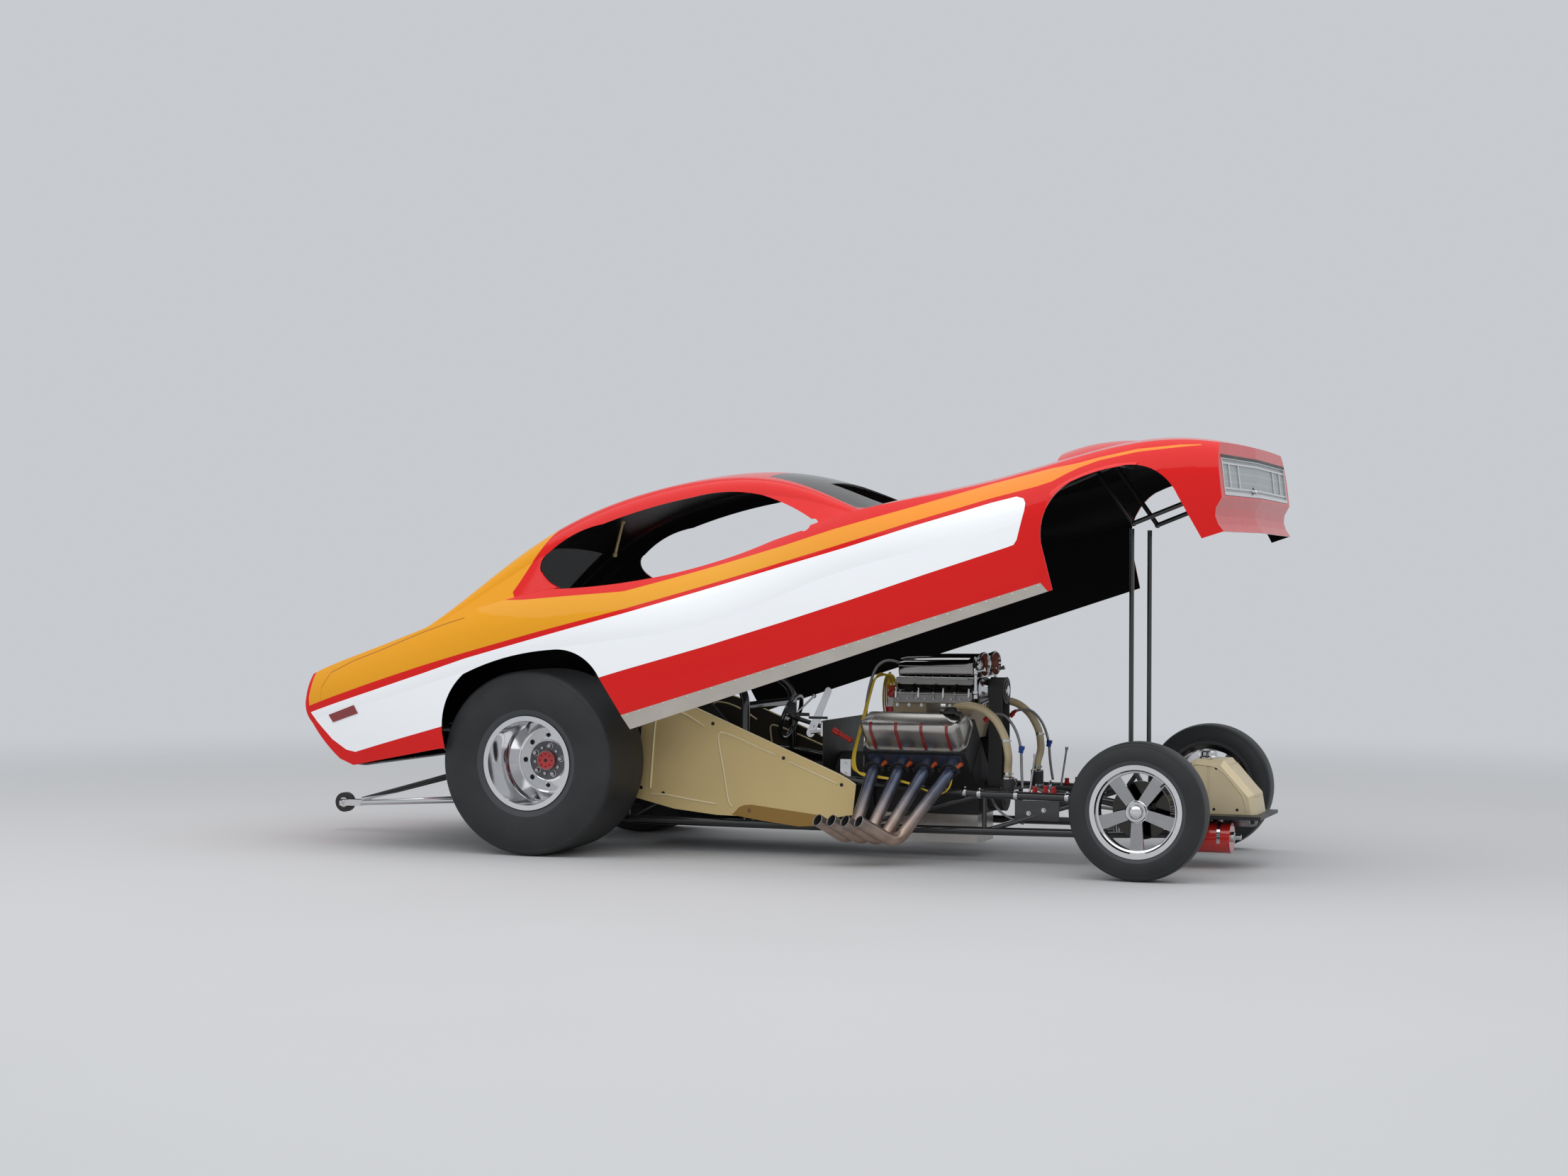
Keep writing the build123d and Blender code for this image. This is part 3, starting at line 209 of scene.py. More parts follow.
def tube(name, points, radius, material, body="chassis", order=3):
    """A round tube or lead along smooth points of the frame; the radius is in millimetres."""
    curve = bpy.data.curves.new(name, "CURVE")
    curve.dimensions = "3D"
    curve.bevel_depth = radius / 1000
    curve.bevel_resolution = 3
    curve.use_fill_caps = True
    curve.resolution_u = 8
    line = curve.splines.new("NURBS")
    line.points.add(len(points) - 1)
    for point, place in zip(line.points, points):
        point.co = (*place, 1)
    line.order_u = order
    line.use_endpoint_u = True
    return put_on(name, curve, material, body)


def bolt(bm, place, axis, radius):
    """A hexagon head on its washer."""
    turned(bm, [(0, radius * 1.35), (1.2, radius * 1.35), (1.2, radius * 0.9)], place, axis, 20)
    turned(bm, [(1.2, radius), (radius * 0.9, radius), (radius * 1.1, radius * 0.85), (radius * 1.1, 0)], place,
           axis, 6)


black_paint = finish("black_paint", (0.01, 0.01, 0.011), 0.22, coat=0.7, mottle=0.3)
dress(black_paint, "frame_rails", "roll_cage", "front_axle", "prop_rod_right", "prop_rod_left", "body_tubing",
      "steering_yoke")
bright_steel = finish("bright_steel", (0.62, 0.62, 0.63), 0.16, 1.0, mottle=0.2, mottle_scale=20)

RAIL_TOPS = ((1440, 325, 365), (2080, 315, 318), (2600, 300, 312))     # x, half width, height


def rail_place(x):
    """Half width and height of the top rail at x."""
    for a, b in zip(RAIL_TOPS, RAIL_TOPS[1:]):
        if a[0] <= x <= b[0]:
            part = (x - a[0]) / (b[0] - a[0])
            return a[1] + part * (b[1] - a[1]), a[2] + part * (b[2] - a[2])


clamps = bmesh.new()
for x in (1986, 2056, 2230, 2470):
    w, z = rail_place(x)
    for s in (-1, 1):
        turned(clamps, [(-9, 19.5), (-9, 21.5), (-5, 22.5), (5, 22.5), (9, 21.5), (9, 19.5)], at(x, s * w, z),
               (1, 0, -0.03))
        bolt(clamps, at(x, s * w, z + 21.5), UP, 5)
piece("rail_clamps", clamps, bright_steel)

side_plates = bmesh.new()
plate_bolts = bmesh.new()
for s in (-1, 1):
    block(side_plates, at(2330, s * 316, 250), (210, 4, 92), 1.2)
    for x, z in ((2291, 237), (2362, 253)):
        bolt(plate_bolts, at(x, s * 318, z), (0, s, 0), 8)
piece("side_plates", side_plates, black_paint)
piece("plate_bolts", plate_bolts, bright_steel)

# Cockpit sheets. The long side panels are thin aluminium, gold outside and painted near-black
# inside as painted shade of the cockpit, with pressed beads for stiffness, a rolled lip along the
# top, quarter-turn fasteners and a darker strip at the foot. The floor and the firewall are dark
# sheets, their near-black a painted shade behind the engine.
SIDES = ((-1, "right"), (1, "left"))
PANEL_INSIDE, PANEL_FACE = 0.353, 353.8     # metres, millimetres


def maths(operation, a, b=0.0, clamp=False):
    """One sum on shader values, at least one of them the output of a node."""
    tree = (a if isinstance(a, bpy.types.NodeSocket) else b).id_data
    return node(tree, "Math", {0: a, 1: b}, operation=operation, use_clamp=clamp).outputs[0]


def above(a, b):
    return maths("GREATER_THAN", a, b)


def below(a, b):
    return maths("LESS_THAN", a, b)


def both(first, *others):
    """Where all of the masks are 1."""
    for other in others:
        first = maths("MULTIPLY", first, other)
    return first


def axes(material, vector=None):
    """The x, y and z of a vector, or else of the place on the object, in metres."""
    vector = vector or node(material.node_tree, "TexCoord").outputs["Object"]
    return node(material.node_tree, "SeparateXYZ", {"Vector": vector}).outputs


def recolour(material, mask, colour):
    """Lay a colour over a finish where the mask is 1."""
    under = shader(material).inputs["Base Color"].links[0].from_socket
    plug(shader(material), {"Base Color": blend(mask, under, colour)})


def prism(bm, outline, across):
    """A flat outline of points of the frame, given a thickness."""
    skin(bm, [outline, [point + across for point in outline]], ends=True)


panel_gold = finish("panel_gold", (0.66, 0.5, 0.23), 0.42, 0.35, bump=0.12, bump_scale=50, stretch=(1, 1, 10),
                    mottle=0.25, mottle_scale=2.5)
# The inner faces of the panels are painted near-black: painted shade inside the cockpit.
recolour(panel_gold, below(maths("ABSOLUTE", axes(panel_gold)["Y"]), PANEL_INSIDE), (0.045, 0.038, 0.028))
dress(panel_gold, "cockpit_panels")
# The beads and the top lip take a lighter gold than the panels: painted highlight.
highlit_bead_gold = finish("highlit_bead_gold", (0.8, 0.67, 0.4), 0.35, 0.35, mottle=0.2, mottle_scale=2.5)
# The floor and the firewall are painted near-black: painted shade behind the engine.
dress(finish("firewall_shade_black", (0.014, 0.013, 0.012), 0.5, 0.3, mottle=0.4), "floor_and_firewall")
BEADS = (
    ((424, 271), (489, 271), (560, 261), (660, 246), (762, 233)),
    ((846, 222), (832, 236), (822, 262), (812, 324), (798, 402), (784, 470), (772, 545), (773, 570), (790, 577),
     (850, 559), (960, 516), (1077, 470)),
    ((1130, 447), (1220, 411), (1300, 378), (1374, 348)),
    ((420, 300), (428, 400), (436, 520), (448, 640), (470, 690), (560, 676), (640, 640), (700, 600)),
)
PANEL_TOP = ((388, 757), (450, 744), (520, 729), (606, 709), (800, 630), (1000, 548), (1200, 466), (1422, 376),
             (1464, 345))
FASTENERS = ((487, 276), (1394, 343), (931, 207), (372, 300), (400, 700), (743, 616), (1103, 461))
STRIP = ((843, 184), (880, 222), (905, 232), (942, 235), (1273, 198), (1268, 146), (1180, 140), (1003, 160))
screws = bmesh.new()
strips = bmesh.new()
for s, side in SIDES:
    for number, line in enumerate(BEADS):
        tube(f"panel_bead_{side}_{number + 1}", [at(x, s * (PANEL_FACE + 0.5), z) for x, z in line], 6, highlit_bead_gold)
    tube(f"panel_lip_{side}", [at(x, s * (PANEL_FACE - 1.5), z) for x, z in PANEL_TOP], 4, highlit_bead_gold)
    for x, z in FASTENERS:
        turned(screws, [(0, 9), (2.5, 8), (2.5, 5), (1.2, 4.5), (1.2, 0)], at(x, s * PANEL_FACE, z), (0, s, 0), 16)
    prism(strips, [at(x, s * (PANEL_FACE + 0.2), z) for x, z in STRIP], mm(0, s * 2, 0))
# This dark finish also draws the knob's painted shadow on the nose.
dark_screw_and_shadow = finish("dark_screw_and_shadow", (0.03, 0.03, 0.03), 0.4, 0.7, mottle=0.3)
piece("panel_fasteners", screws, dark_screw_and_shadow)
piece("panel_strips", strips, finish("dark_gold", (0.3, 0.17, 0.035), 0.38, 0.35, bump=0.12, bump_scale=50,
                                     stretch=(1, 1, 10), mottle=0.3, mottle_scale=2.5))

# Driver's place. A padded bucket seat with two shoulder belts. Ahead of it stand a bright brake
# lever on its pivot, with dark plates, a small red cylinder and a bracket on the panel.
dress(finish("seat_cover", (0.02, 0.02, 0.022), 0.75, bump=0.6, bump_scale=600, mottle=0.3), "driver_seat")
belt_web = finish("belt_web", (0.25, 0.012, 0.01), 0.8, bump=0.8, bump_scale=900, stretch=(1, 4, 1), mottle=0.3)
BELT_WAY = ((354, 90, 700), (358, 88, 640), (372, 84, 560), (388, 78, 480), (404, 62, 400), (418, 40, 330),
            (436, 14, 262))
BELT_HALF = 22
for s, side in SIDES:
    web = bmesh.new()
    rows = [[web.verts.new(at(x, s * y + edge, z)) for edge in (-BELT_HALF, BELT_HALF)] for x, y, z in BELT_WAY]
    for a, b in zip(rows, rows[1:]):
        web.faces.new((a[0], a[1], b[1], b[0]))
    bmesh.ops.solidify(web, geom=web.faces[:], thickness=0.0025)
    piece(f"shoulder_belt_{side}", web, belt_web)
LEVER_Y, LEVER_SIDE = -250, -253
lever = bmesh.new()
foot, top = Vector((1202, 577)), Vector((1291, 780))
along = (top - foot).normalized()
across = Vector((along.y, -along.x))
half_turn = [math.pi * k / 8 for k in range(9)]
rim = [foot + (across * math.cos(t) - along * math.sin(t)) * 20 for t in half_turn]
rim += [top + (-across * math.cos(t) + along * math.sin(t)) * 16 for t in half_turn]
prism(lever, [at(p.x, LEVER_SIDE, p.y) for p in rim], mm(0, 6, 0))
turned(lever, [(0, 9), (82, 9)], at(1202, LEVER_Y, 580), (1, 0, 0.1), 16)
for place in (foot, foot + along * 34):
    bolt(lever, at(place.x, LEVER_SIDE, place.y), (0, -1, 0), 7)
block(lever, at(1272, LEVER_Y, 600), (22, 52, 74), 3)
turned(lever, [(0, 5), (104, 4.5), (104, 8), (112, 10), (120, 8), (122, 0)], at(1137, LEVER_Y, 676), (0.73, 0, 0.68),
       16)
block(lever, at(1408, -331, 422), (54, 12, 84), 4)
for z in (446, 398):
    bolt(lever, at(1408, -337, z), (0, -1, 0), 5)
piece("brake_lever", lever, bright_steel)
plates = bmesh.new()
for x, y, z, *sizes in ((1104, -256, 692, 40, 3, 58), (1104, -244, 692, 40, 3, 58), (1150, LEVER_Y, 664, 90, 8, 16),
                        (1240, LEVER_Y, 650, 94, 8, 12)):
    block(plates, at(x, y, z), sizes, 1)
piece("lever_plates", plates, dark_screw_and_shadow)
cylinder = bmesh.new()
turned(cylinder, [(0, 0), (0, 13), (4, 15), (34, 15), (38, 11), (88, 11), (92, 14), (106, 14), (110, 0)],
       at(1332, -300, 598), (0.88, 0, -0.47), 20)
piece("red_cylinder", cylinder, finish("cylinder_red", (0.42, 0.02, 0.015), 0.35, 0.3, mottle=0.2))

# Lower engine. A cast aluminium block with its heads at 45 degrees, a sheet oil pan, the
# clutch can and gearbox behind, and the rear axle housing.
dark_casting = finish("dark_casting", (0.028, 0.028, 0.03), 0.5, 0.6, bump=0.5, bump_scale=220, mottle=0.5)
dress(dark_casting, "engine_block", "clutch_and_gearbox", "rear_axle_housing", "cylinder_heads")
BANK_X = [1495 + 510 * (0.14 + 0.24 * i) for i in range(4)]
CRANK_Z = 300


def on_bank(x, s, t, h):
    """A place on a bank of the vee: t across it towards the outside, h up along it from the crank."""
    r = math.sqrt(0.5)
    return at(x, s * r * (t + h), CRANK_Z + r * (h - t))


def plug_way(s):
    """The way a spark plug points out of its head."""
    return Vector((-0.24, s * 0.95, -0.38)).normalized()


head_bolts = bmesh.new()
boots = bmesh.new()
for s in (-1, 1):
    for x in BANK_X:
        for dx in (-34, 34):
            bolt(head_bolts, on_bank(x + dx, s, 110, 372), (0, s, -1), 5)
        turned(boots, [(-4, 0), (-4, 12), (0, 13), (8, 12), (74, 9), (80, 7), (80, 0)], on_bank(x + 34, s, 110, 332),
               plug_way(s), 18)
piece("head_bolts", head_bolts, bright_steel)
boot_orange = finish("boot_orange", (0.55, 0.09, 0.015), 0.5, mottle=0.3)
piece("plug_boots", boots, boot_orange)

# Exhaust headers. Four mild steel pipes a side, blued by the heat near the heads and tan
# towards their slash-cut tips, welded to flanges with two bolts each.
def heights(material, stops, low, high):
    """Replace the colour of a finish by colours that follow the height, in millimetres."""
    tree = material.node_tree
    part = node(tree, "MapRange", {"Value": axes(material)["Z"], "From Min": low / 1000, "From Max": high / 1000})
    ramp = node(tree, "ValToRGB", {"Fac": part.outputs["Result"]})
    while len(ramp.color_ramp.elements) < len(stops):
        ramp.color_ramp.elements.new(0.5)
    for element, (height, color) in zip(ramp.color_ramp.elements, stops):
        element.position = (height - low) / (high - low)
        element.color = (*color, 1)
    broad = next(n for n in tree.nodes if n.type == "TEX_NOISE")
    mixed = node(tree, "Mix", {"Factor": 0.8, "A": ramp.outputs["Color"], "B": broad.outputs["Fac"]},
                 data_type="RGBA", blend_type="SOFT_LIGHT")
    plug(shader(material), {"Base Color": mixed.outputs["Result"]})


header_steel = finish("header_steel", (0.2, 0.2, 0.2), 0.3, 0.8, bump=0.15, bump_scale=150, mottle=0.5,
                      mottle_scale=14)
heights(header_steel, [(60, (0.42, 0.3, 0.22)), (170, (0.4, 0.3, 0.25)), (260, (0.22, 0.19, 0.19)),
                       (350, (0.12, 0.13, 0.17)), (430, (0.09, 0.11, 0.17))], 40, 460)
dress(header_steel, "exhaust_headers")
flanges = bmesh.new()
for s in (-1, 1):
    way = (0, s * 0.75, -0.66)
    for x in (1565, 1687, 1809, 1931):
        place = at(x, s * 398, 418)
        turned(flanges, [(-16, 31), (-16, 44), (-8, 44), (-8, 31)], place, way, 24)
        for dx in (-46, 46):
            block(flanges, place + mm(dx * 0.9, -s * 9, 8), (22, 24, 8), 2, Matrix.Rotation(s * 0.86, 4, "X"))
            bolt(flanges, place + mm(dx, -s * 6, 5), way, 6)
piece("header_flanges", flanges, dark_casting)
tip_rims = bmesh.new()
soot = bmesh.new()
for s in (-1, 1):
    for i in range(4):
        tip = at(1425 + 66 * i, s * 775, 214)
        way = tip - at(1530 + 72 * i, s * 610, 105)
        turned(tip_rims, [(-3, 28.7), (1.2, 28.9), (2.2, 27.6), (1.2, 26.2), (-8, 26.0)], tip, way, 32)
        turned(soot, [(-60, 25.6), (-2, 25.9), (-2, 25.3), (-60, 25.0)], tip, way, 32)
cast_aluminium = finish("cast_aluminium", (0.34, 0.33, 0.31), 0.42, 0.85, bump=0.4, bump_scale=260, mottle=0.5)
piece("pipe_tip_rims", tip_rims, cast_aluminium)
piece("pipe_soot", soot, finish("soot_black", (0.012, 0.011, 0.01), 0.9, mottle=0.4))

# Valve covers. Brushed cast covers with rolled edges and rounded ends, four ribs painted dark
# red down each outer face, a bolted flange and a dark oval base for the breather hose.
brushed_cover = finish("brushed_cover", (0.5, 0.48, 0.45), 0.27, 0.95, bump=0.2, bump_scale=90, stretch=(0.12, 5, 5),
                       mottle=0.45, mottle_scale=10)
dress(brushed_cover, "oil_pan")
COVER_MIDDLE_X = 1750


def rounded(half_x, low_t, high_t, radius, steps=8):
    """Points round a rectangle with rounded corners: along the car, and across the bank."""
    points = []
    for number, (x, t) in enumerate(((half_x, high_t), (-half_x, high_t), (-half_x, low_t), (half_x, low_t))):
        middle_x = x - math.copysign(radius, x)
        middle_t = t - radius if t == high_t else t + radius
        for i in range(steps + 1):
            angle = math.pi / 2 * (number + i / steps)
            points.append((middle_x + radius * math.cos(angle), middle_t + radius * math.sin(angle)))
    return points


def cover_top(t):
    """Height of the cover's top along the bank: level on the car inside, then falling to the outer edge."""
    if t < 0:
        return 550 + t
    return 550 + 0.1 * t if t < 60 else 556 - 0.3 * (t - 60)


covers = bmesh.new()
for s in (-1, 1):
    rings = [[(x, t, h) for x, t in rounded(half, -104, 106, 50)]
             for half, h in ((250, 400.5), (252, 403), (252, 409), (250, 411.5))]
    rings.append([(x, t, 411.5) for x, t in rounded(241, -98, 98, 42)])
    for inset, drop in ((0, 24), (3, 12), (8, 5), (16, 1), (26, 0), (46, 0), (70, 0), (93, 0)):
        around = rounded(241 - inset, -98 + inset, 98 - inset, max(3, 42 - inset))
        rings.append([(x, t, cover_top(t) - drop) for x, t in around])
    skin(covers, [[on_bank(COVER_MIDDLE_X + x, s, t, h) for x, t, h in ring] for ring in rings], ends=True)
cover_piece = piece("valve_cover_pair", covers, brushed_cover)
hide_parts("valve_covers")

RIB = ((64, 555), (66, 556.5), (83, cover_top(83) + 1.5), (92, cover_top(92) - 3.5), (98, cover_top(98) - 11),
       (101.5, 519), (103, 413), (97, 413), (97, 519), (90, cover_top(90) - 9))
BASE = ((54, 34, 0), (54, 34, 7), (50, 30, 10), (34, 24, 12), (26, 22, 26), (20, 19, 30))     # half sizes, height
ribs = bmesh.new()
cover_bolts = bmesh.new()
bases = bmesh.new()
for s in (-1, 1):
    for x in BANK_X:
        prism(ribs, [on_bank(x - 7, s, t, h) for t, h in RIB], mm(14, 0, 0))
    for x in (1530, 1628, 1750, 1872, 1970):
        bolt(cover_bolts, on_bank(x, s, -101, 411), (0, s, 1), 4.5)
    middle = on_bank(1930, s, -20, 530)
    skin(bases, [oval(middle + mm(0, 0, z), (a, 0, 0), (0, b, 0), 32) for a, b, z in BASE], ends=True)
    for dx in (-44, 44):
        bolt(bases, middle + mm(dx, 0, 8), UP, 4)
piece("cover_ribs", ribs, finish("rib_red", (0.2, 0.012, 0.01), 0.25, coat=0.6, mottle=0.2))
piece("cover_bolts", cover_bolts, bright_steel)
piece("breather_bases", bases, dark_screw_and_shadow)

# Manifold and blower. A tan cast manifold carries the blower; the case is polished, and its
# dark brownish tone is painted reflection, with bars across it and a row of studs along its
# foot. The toothed belt drives it.
dress(finish("tan_casting", (0.36, 0.29, 0.19), 0.45, 0.45, bump=0.4, bump_scale=260, mottle=0.5), "intake_manifold")
# The polished case is given a dark brownish colour: painted reflection.
dress(finish("case_polish_painted_dark", (0.2, 0.19, 0.18), 0.14, 1.0, bump=0.1, bump_scale=120, mottle=0.4, mottle_scale=16),
      "blower_case")
case_studs = bmesh.new()
case_bars = bmesh.new()
for s in (-1, 1):
    for i in range(9):
        bolt(case_studs, at(1606 + 43.5 * i, s * 152, 744), UP, 5)
    for x in (1640, 1735, 1830, 1920):
        bolt(case_studs, at(x, s * 129, 826), UP, 4.5)
    turned(case_bars, [(0, 0), (0, 4.5), (372, 4.5), (372, 0)], at(1594, s * 147.5, 770), AHEAD, 14)
    for x in (1594, 1706, 1828, 1954):
        block(case_bars, at(x, s * 150, 770), (9, 9, 44), 2)
        turned(case_bars, [(0, 5), (5, 5), (7, 3), (7, 0)], at(x, s * 150, 791), UP, 12)
turned(case_bars, [(1971, 0), (1971, 74), (1980, 76), (1990, 64), (2018, 52), (2024, 50), (2024, 0)],
       at(0, 0, 785), AHEAD, 40)
piece("case_studs", case_studs, bright_steel)
piece("case_bars", case_bars, bright_steel)
manifold_bolts = bmesh.new()
for s in (-1, 1):
    for x in (1592, 1650, 1712, 1852, 1905, 1946):
        bolt(manifold_bolts, at(x, s * 118, 714), (0, s, 0), 6)
piece("manifold_bolts", manifold_bolts, bright_steel)

belt_black = finish("belt_black", (0.02, 0.02, 0.02), 0.6, bump=0.3, bump_scale=200, mottle=0.3)
dress(belt_black, "blower_drive", "catch_cans")
BELT_FEET = ((300, 79), (785, 59))     # height and half width of the belt at each pulley
teeth = bmesh.new()
for s in (-1, 1):
    for i in range(26):
        z = 322 + i * 17.6
        part = (z - BELT_FEET[0][0]) / (BELT_FEET[1][0] - BELT_FEET[0][0])
        half = BELT_FEET[0][1] + (BELT_FEET[1][1] - BELT_FEET[0][1]) * part
        block(teeth, at(2060, s * half, z), (60, 3, 8), 0.8)
piece("belt_teeth", teeth, belt_black)
pulley_caps = bmesh.new()
for z, radius in ((785, 44), (300, 62)):
    turned(pulley_caps, [(-6, radius + 4), (2, radius + 4), (3, radius), (-2, radius - 4), (-2, 26), (10, 24),
                         (12, 20), (12, 0)], at(2094, 0, z), AHEAD, 40)
    for place in oval(at(2093, 0, z), (0, radius - 12, 0), (0, 0, radius - 12), 6):
        bolt(pulley_caps, place, AHEAD, 4.5)
piece("pulley_caps", pulley_caps, bright_steel)

# Injector hat. Polished, with a bolted flange along its foot, two flared mouths with bright
# rolled rims and dark red throats, and a butterfly plate across each throat.
hat_polish = finish("hat_polish", (0.3, 0.29, 0.28), 0.1, 1.0, mottle=0.35, mottle_scale=9)
HAT_SECTIONS = ((1600, 100, 915), (1602, 132, 932), (1612, 150, 945), (1640, 156, 951), (1800, 158, 955),
                (1940, 160, 957), (1972, 158, 956), (1988, 148, 948), (1992, 120, 930))     # x, half width, top
HAT_FOOT = 846
TRUMPET = ((1940, 74, 902, 72, 48), (1962, 77, 903, 74, 50), (1980, 83, 905, 78, 52), (1994, 89, 907, 84, 55),
           (2003, 93, 909, 90, 57.5), (2008, 94, 909, 92, 58))     # x, y, z and half sizes of a mouth's sections
RIM = ((-6, 0, 0, 91, 57), (2, 0, 0, 94, 60), (7, 0, 0, 92, 58), (6, 0, 0, 88, 54), (-4, 0, 0, 86, 52))
THROAT = ((-5, 0, 0, 86.5, 52.5), (-28, -9, -6, 74, 46), (-56, -17, -6, 66, 42), (-56, -17, -6, 65, 41),
          (-28, -9, -6, 73, 45), (-5, 0, 0, 85, 51))


def hat_ring(x, half, top, count=56):
    """One section of the hat: square at its foot and round at its top."""
    middle = (HAT_FOOT + top) / 2
    ring = []
    for i in range(count):
        c, d = math.cos(math.tau * i / count), math.sin(math.tau * i / count)
        power = 0.62 if d > 0 else 0.35
        ring.append(at(x, half * math.copysign(abs(c) ** power, c),
                       middle + (top - middle) * math.copysign(abs(d) ** power, d)))
    return ring


def upright(centre, half_y, half_z):
    """An upright oval across the car."""
    return oval(centre, (0, half_y, 0), (0, 0, half_z), 40)


hat = bmesh.new()
skin(hat, [hat_ring(*row) for row in HAT_SECTIONS], ends=True)
hat_flange = bmesh.new()
hat_bolts = bmesh.new()
rims = bmesh.new()
throats = bmesh.new()
plates = bmesh.new()
for s in (-1, 1):
    skin(hat, [upright(at(x, s * y, z), half_y, half_z) for x, y, z, half_y, half_z in TRUMPET])
    block(hat_flange, at(1775, s * 151, 842), (354, 20, 9), 2)
    for x in (1615, 1652, 1692, 1731, 1775, 1820, 1860, 1900, 1938):
        bolt(hat_bolts, at(x, s * 153, 846.5), UP, 5)
    block(hat_flange, at(1775, s * 158.5, 900), (330, 4, 5), 1.5)
    mouth = at(2010, s * 94, 909)
    for made, sections in ((rims, RIM), (throats, THROAT)):
        skin(made, [upright(mouth + mm(x, s * y, z), half_y, half_z) for x, y, z, half_y, half_z in sections],
             closed=True)
    prism(plates, upright(mouth + mm(-54, -s * 16, -6), 65, 41), mm(3, 0, 0))
    turned(plates, [(-62, 0), (-62, 4), (62, 4), (62, 0)], mouth + mm(-49, -s * 16, -6), (0, 1, 0), 12)
hat_piece = piece("hat", hat, hat_polish)
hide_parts("injector_hat")
piece("hat_flange", hat_flange, cast_aluminium)
piece("hat_bolts", hat_bolts, bright_steel)
piece("mouth_rims", rims, bright_steel)
# The throats are coloured dark red.
piece("mouth_throats", throats, finish("throat_dark_red", (0.2, 0.045, 0.02), 0.5, mottle=0.5, mottle_scale=25))
piece("butterfly_plates", plates, dark_screw_and_shadow)

# Ignition. The magneto stands behind the blower with a red, white and red cap; eight yellow
# leads run down from its towers and along the heads to the orange boots.
magneto_body = finish("magneto_body", (0.5, 0.5, 0.5), 0.3, coat=0.4, mottle=0.3)
BANDS = ((470, 640, (0.1, 0.1, 0.11)), (648, 698, (0.45, 0.02, 0.015)), (702, 741, (0.75, 0.74, 0.72)),
         (745, 790, (0.5, 0.02, 0.015)))     # foot, top and colour
heights(magneto_body, [(z, colour) for low, high, colour in BANDS for z in (low, high)], 460, 800)
dress(magneto_body, "magneto")
MAGNETO_X = 1529.7
TOWER_LEAN = 0.3 / 0.016
towers = bmesh.new()
cap_top = at(MAGNETO_X, 0, 786)
for place in oval(cap_top, (16, 0, 0), (0, 16, 0), 8, 0.5):
    turned(towers, [(-6, 6.5), (12, 6), (16, 5), (16, 0)], place, (place - cap_top) * TOWER_LEAN + Vector((0, 0, 1)),
           14)
piece("magneto_towers", towers, boot_orange)
lead_yellow = finish("lead_yellow", (0.62, 0.42, 0.03), 0.35, mottle=0.3, mottle_scale=60)
LEAD_WAY = ((1475, 100, 858), (1451, 130, 744), (1444, 190, 635), (1446, 270, 554), (1448, 340, 480),
            (1464, 382, 425))
LEAD_RUN = ((1500, 404), (1570, 398), (1640, 390), (1720, 377), (1800, 352), (1870, 324))
LEAD_DROPS = (398, 380, 352, 324)
tops = oval(at(MAGNETO_X, 0, 800), (20, 0, 0), (0, 20, 0), 8, 0.5)
for s, side in SIDES:
    for i, (x, drop) in enumerate(zip(BANK_X, LEAD_DROPS)):
        top = tops[i if s < 0 else 7 - i]
        shift = (i - 1.5) * 9
        way = [top, top + mm(-6, s * 6, 50)]
        way += [at(a + shift * 0.8, s * (b + shift), c + shift * 0.5) for a, b, c in LEAD_WAY]
        way += [at(a, s * (392 + shift * 0.4), c - i * 3) for a, c in LEAD_RUN if a < x - 50]
        end = on_bank(x + 34, s, 110, 332) + plug_way(s) * 0.074
        way += [at(x - 24, s * 398, drop), at(x + 8, s * 402, drop + 30), end + mm(-2, s * 8, -3), end]
        tube(f"plug_lead_{side}_{i + 1}", way, 4.5, lead_yellow)

# Fuel, oil and water lines. Braided hoses with red and blue screwed ends run past the engine
# and along the frame; a bright tee stands on each side of the blower.
braid = finish("braid", (0.3, 0.3, 0.31), 0.35, 0.9, bump=1.0, bump_scale=1200, mottle=0.3)
LINES = (
    ("fuel_line_upper", 7, ((1585, -40, 905), (1540, -60, 930), (1478, -96, 900), (1452, -120, 800),
                            (1440, -140, 690), (1452, -150, 560), (1440, -170, 440), (1448, -180, 330))),
    ("fuel_line_front", 8, ((2098, -112, 330), (2160, -120, 330), (2250, -160, 350), (2330, -190, 330),
                            (2480, -200, 280), (2700, -150, 250), (2900, -90, 250), (2984, -60, 268))),
    ("oil_line_low", 6, ((2040, -210, 330), (2090, -250, 300), (2120, -276, 260), (2180, -290, 210),
                         (2260, -292, 186))),
)
WATER_LINE = ((2060, 222, 672), (2130, 236, 700), (2200, 248, 640), (2237, 250, 540), (2240, 258, 430),
              (2250, 276, 350))
for name, radius, points in LINES:
    tube(name, [at(*point) for point in points], radius, braid)
fittings = bmesh.new()
red_fittings = bmesh.new()
blue_fittings = bmesh.new()
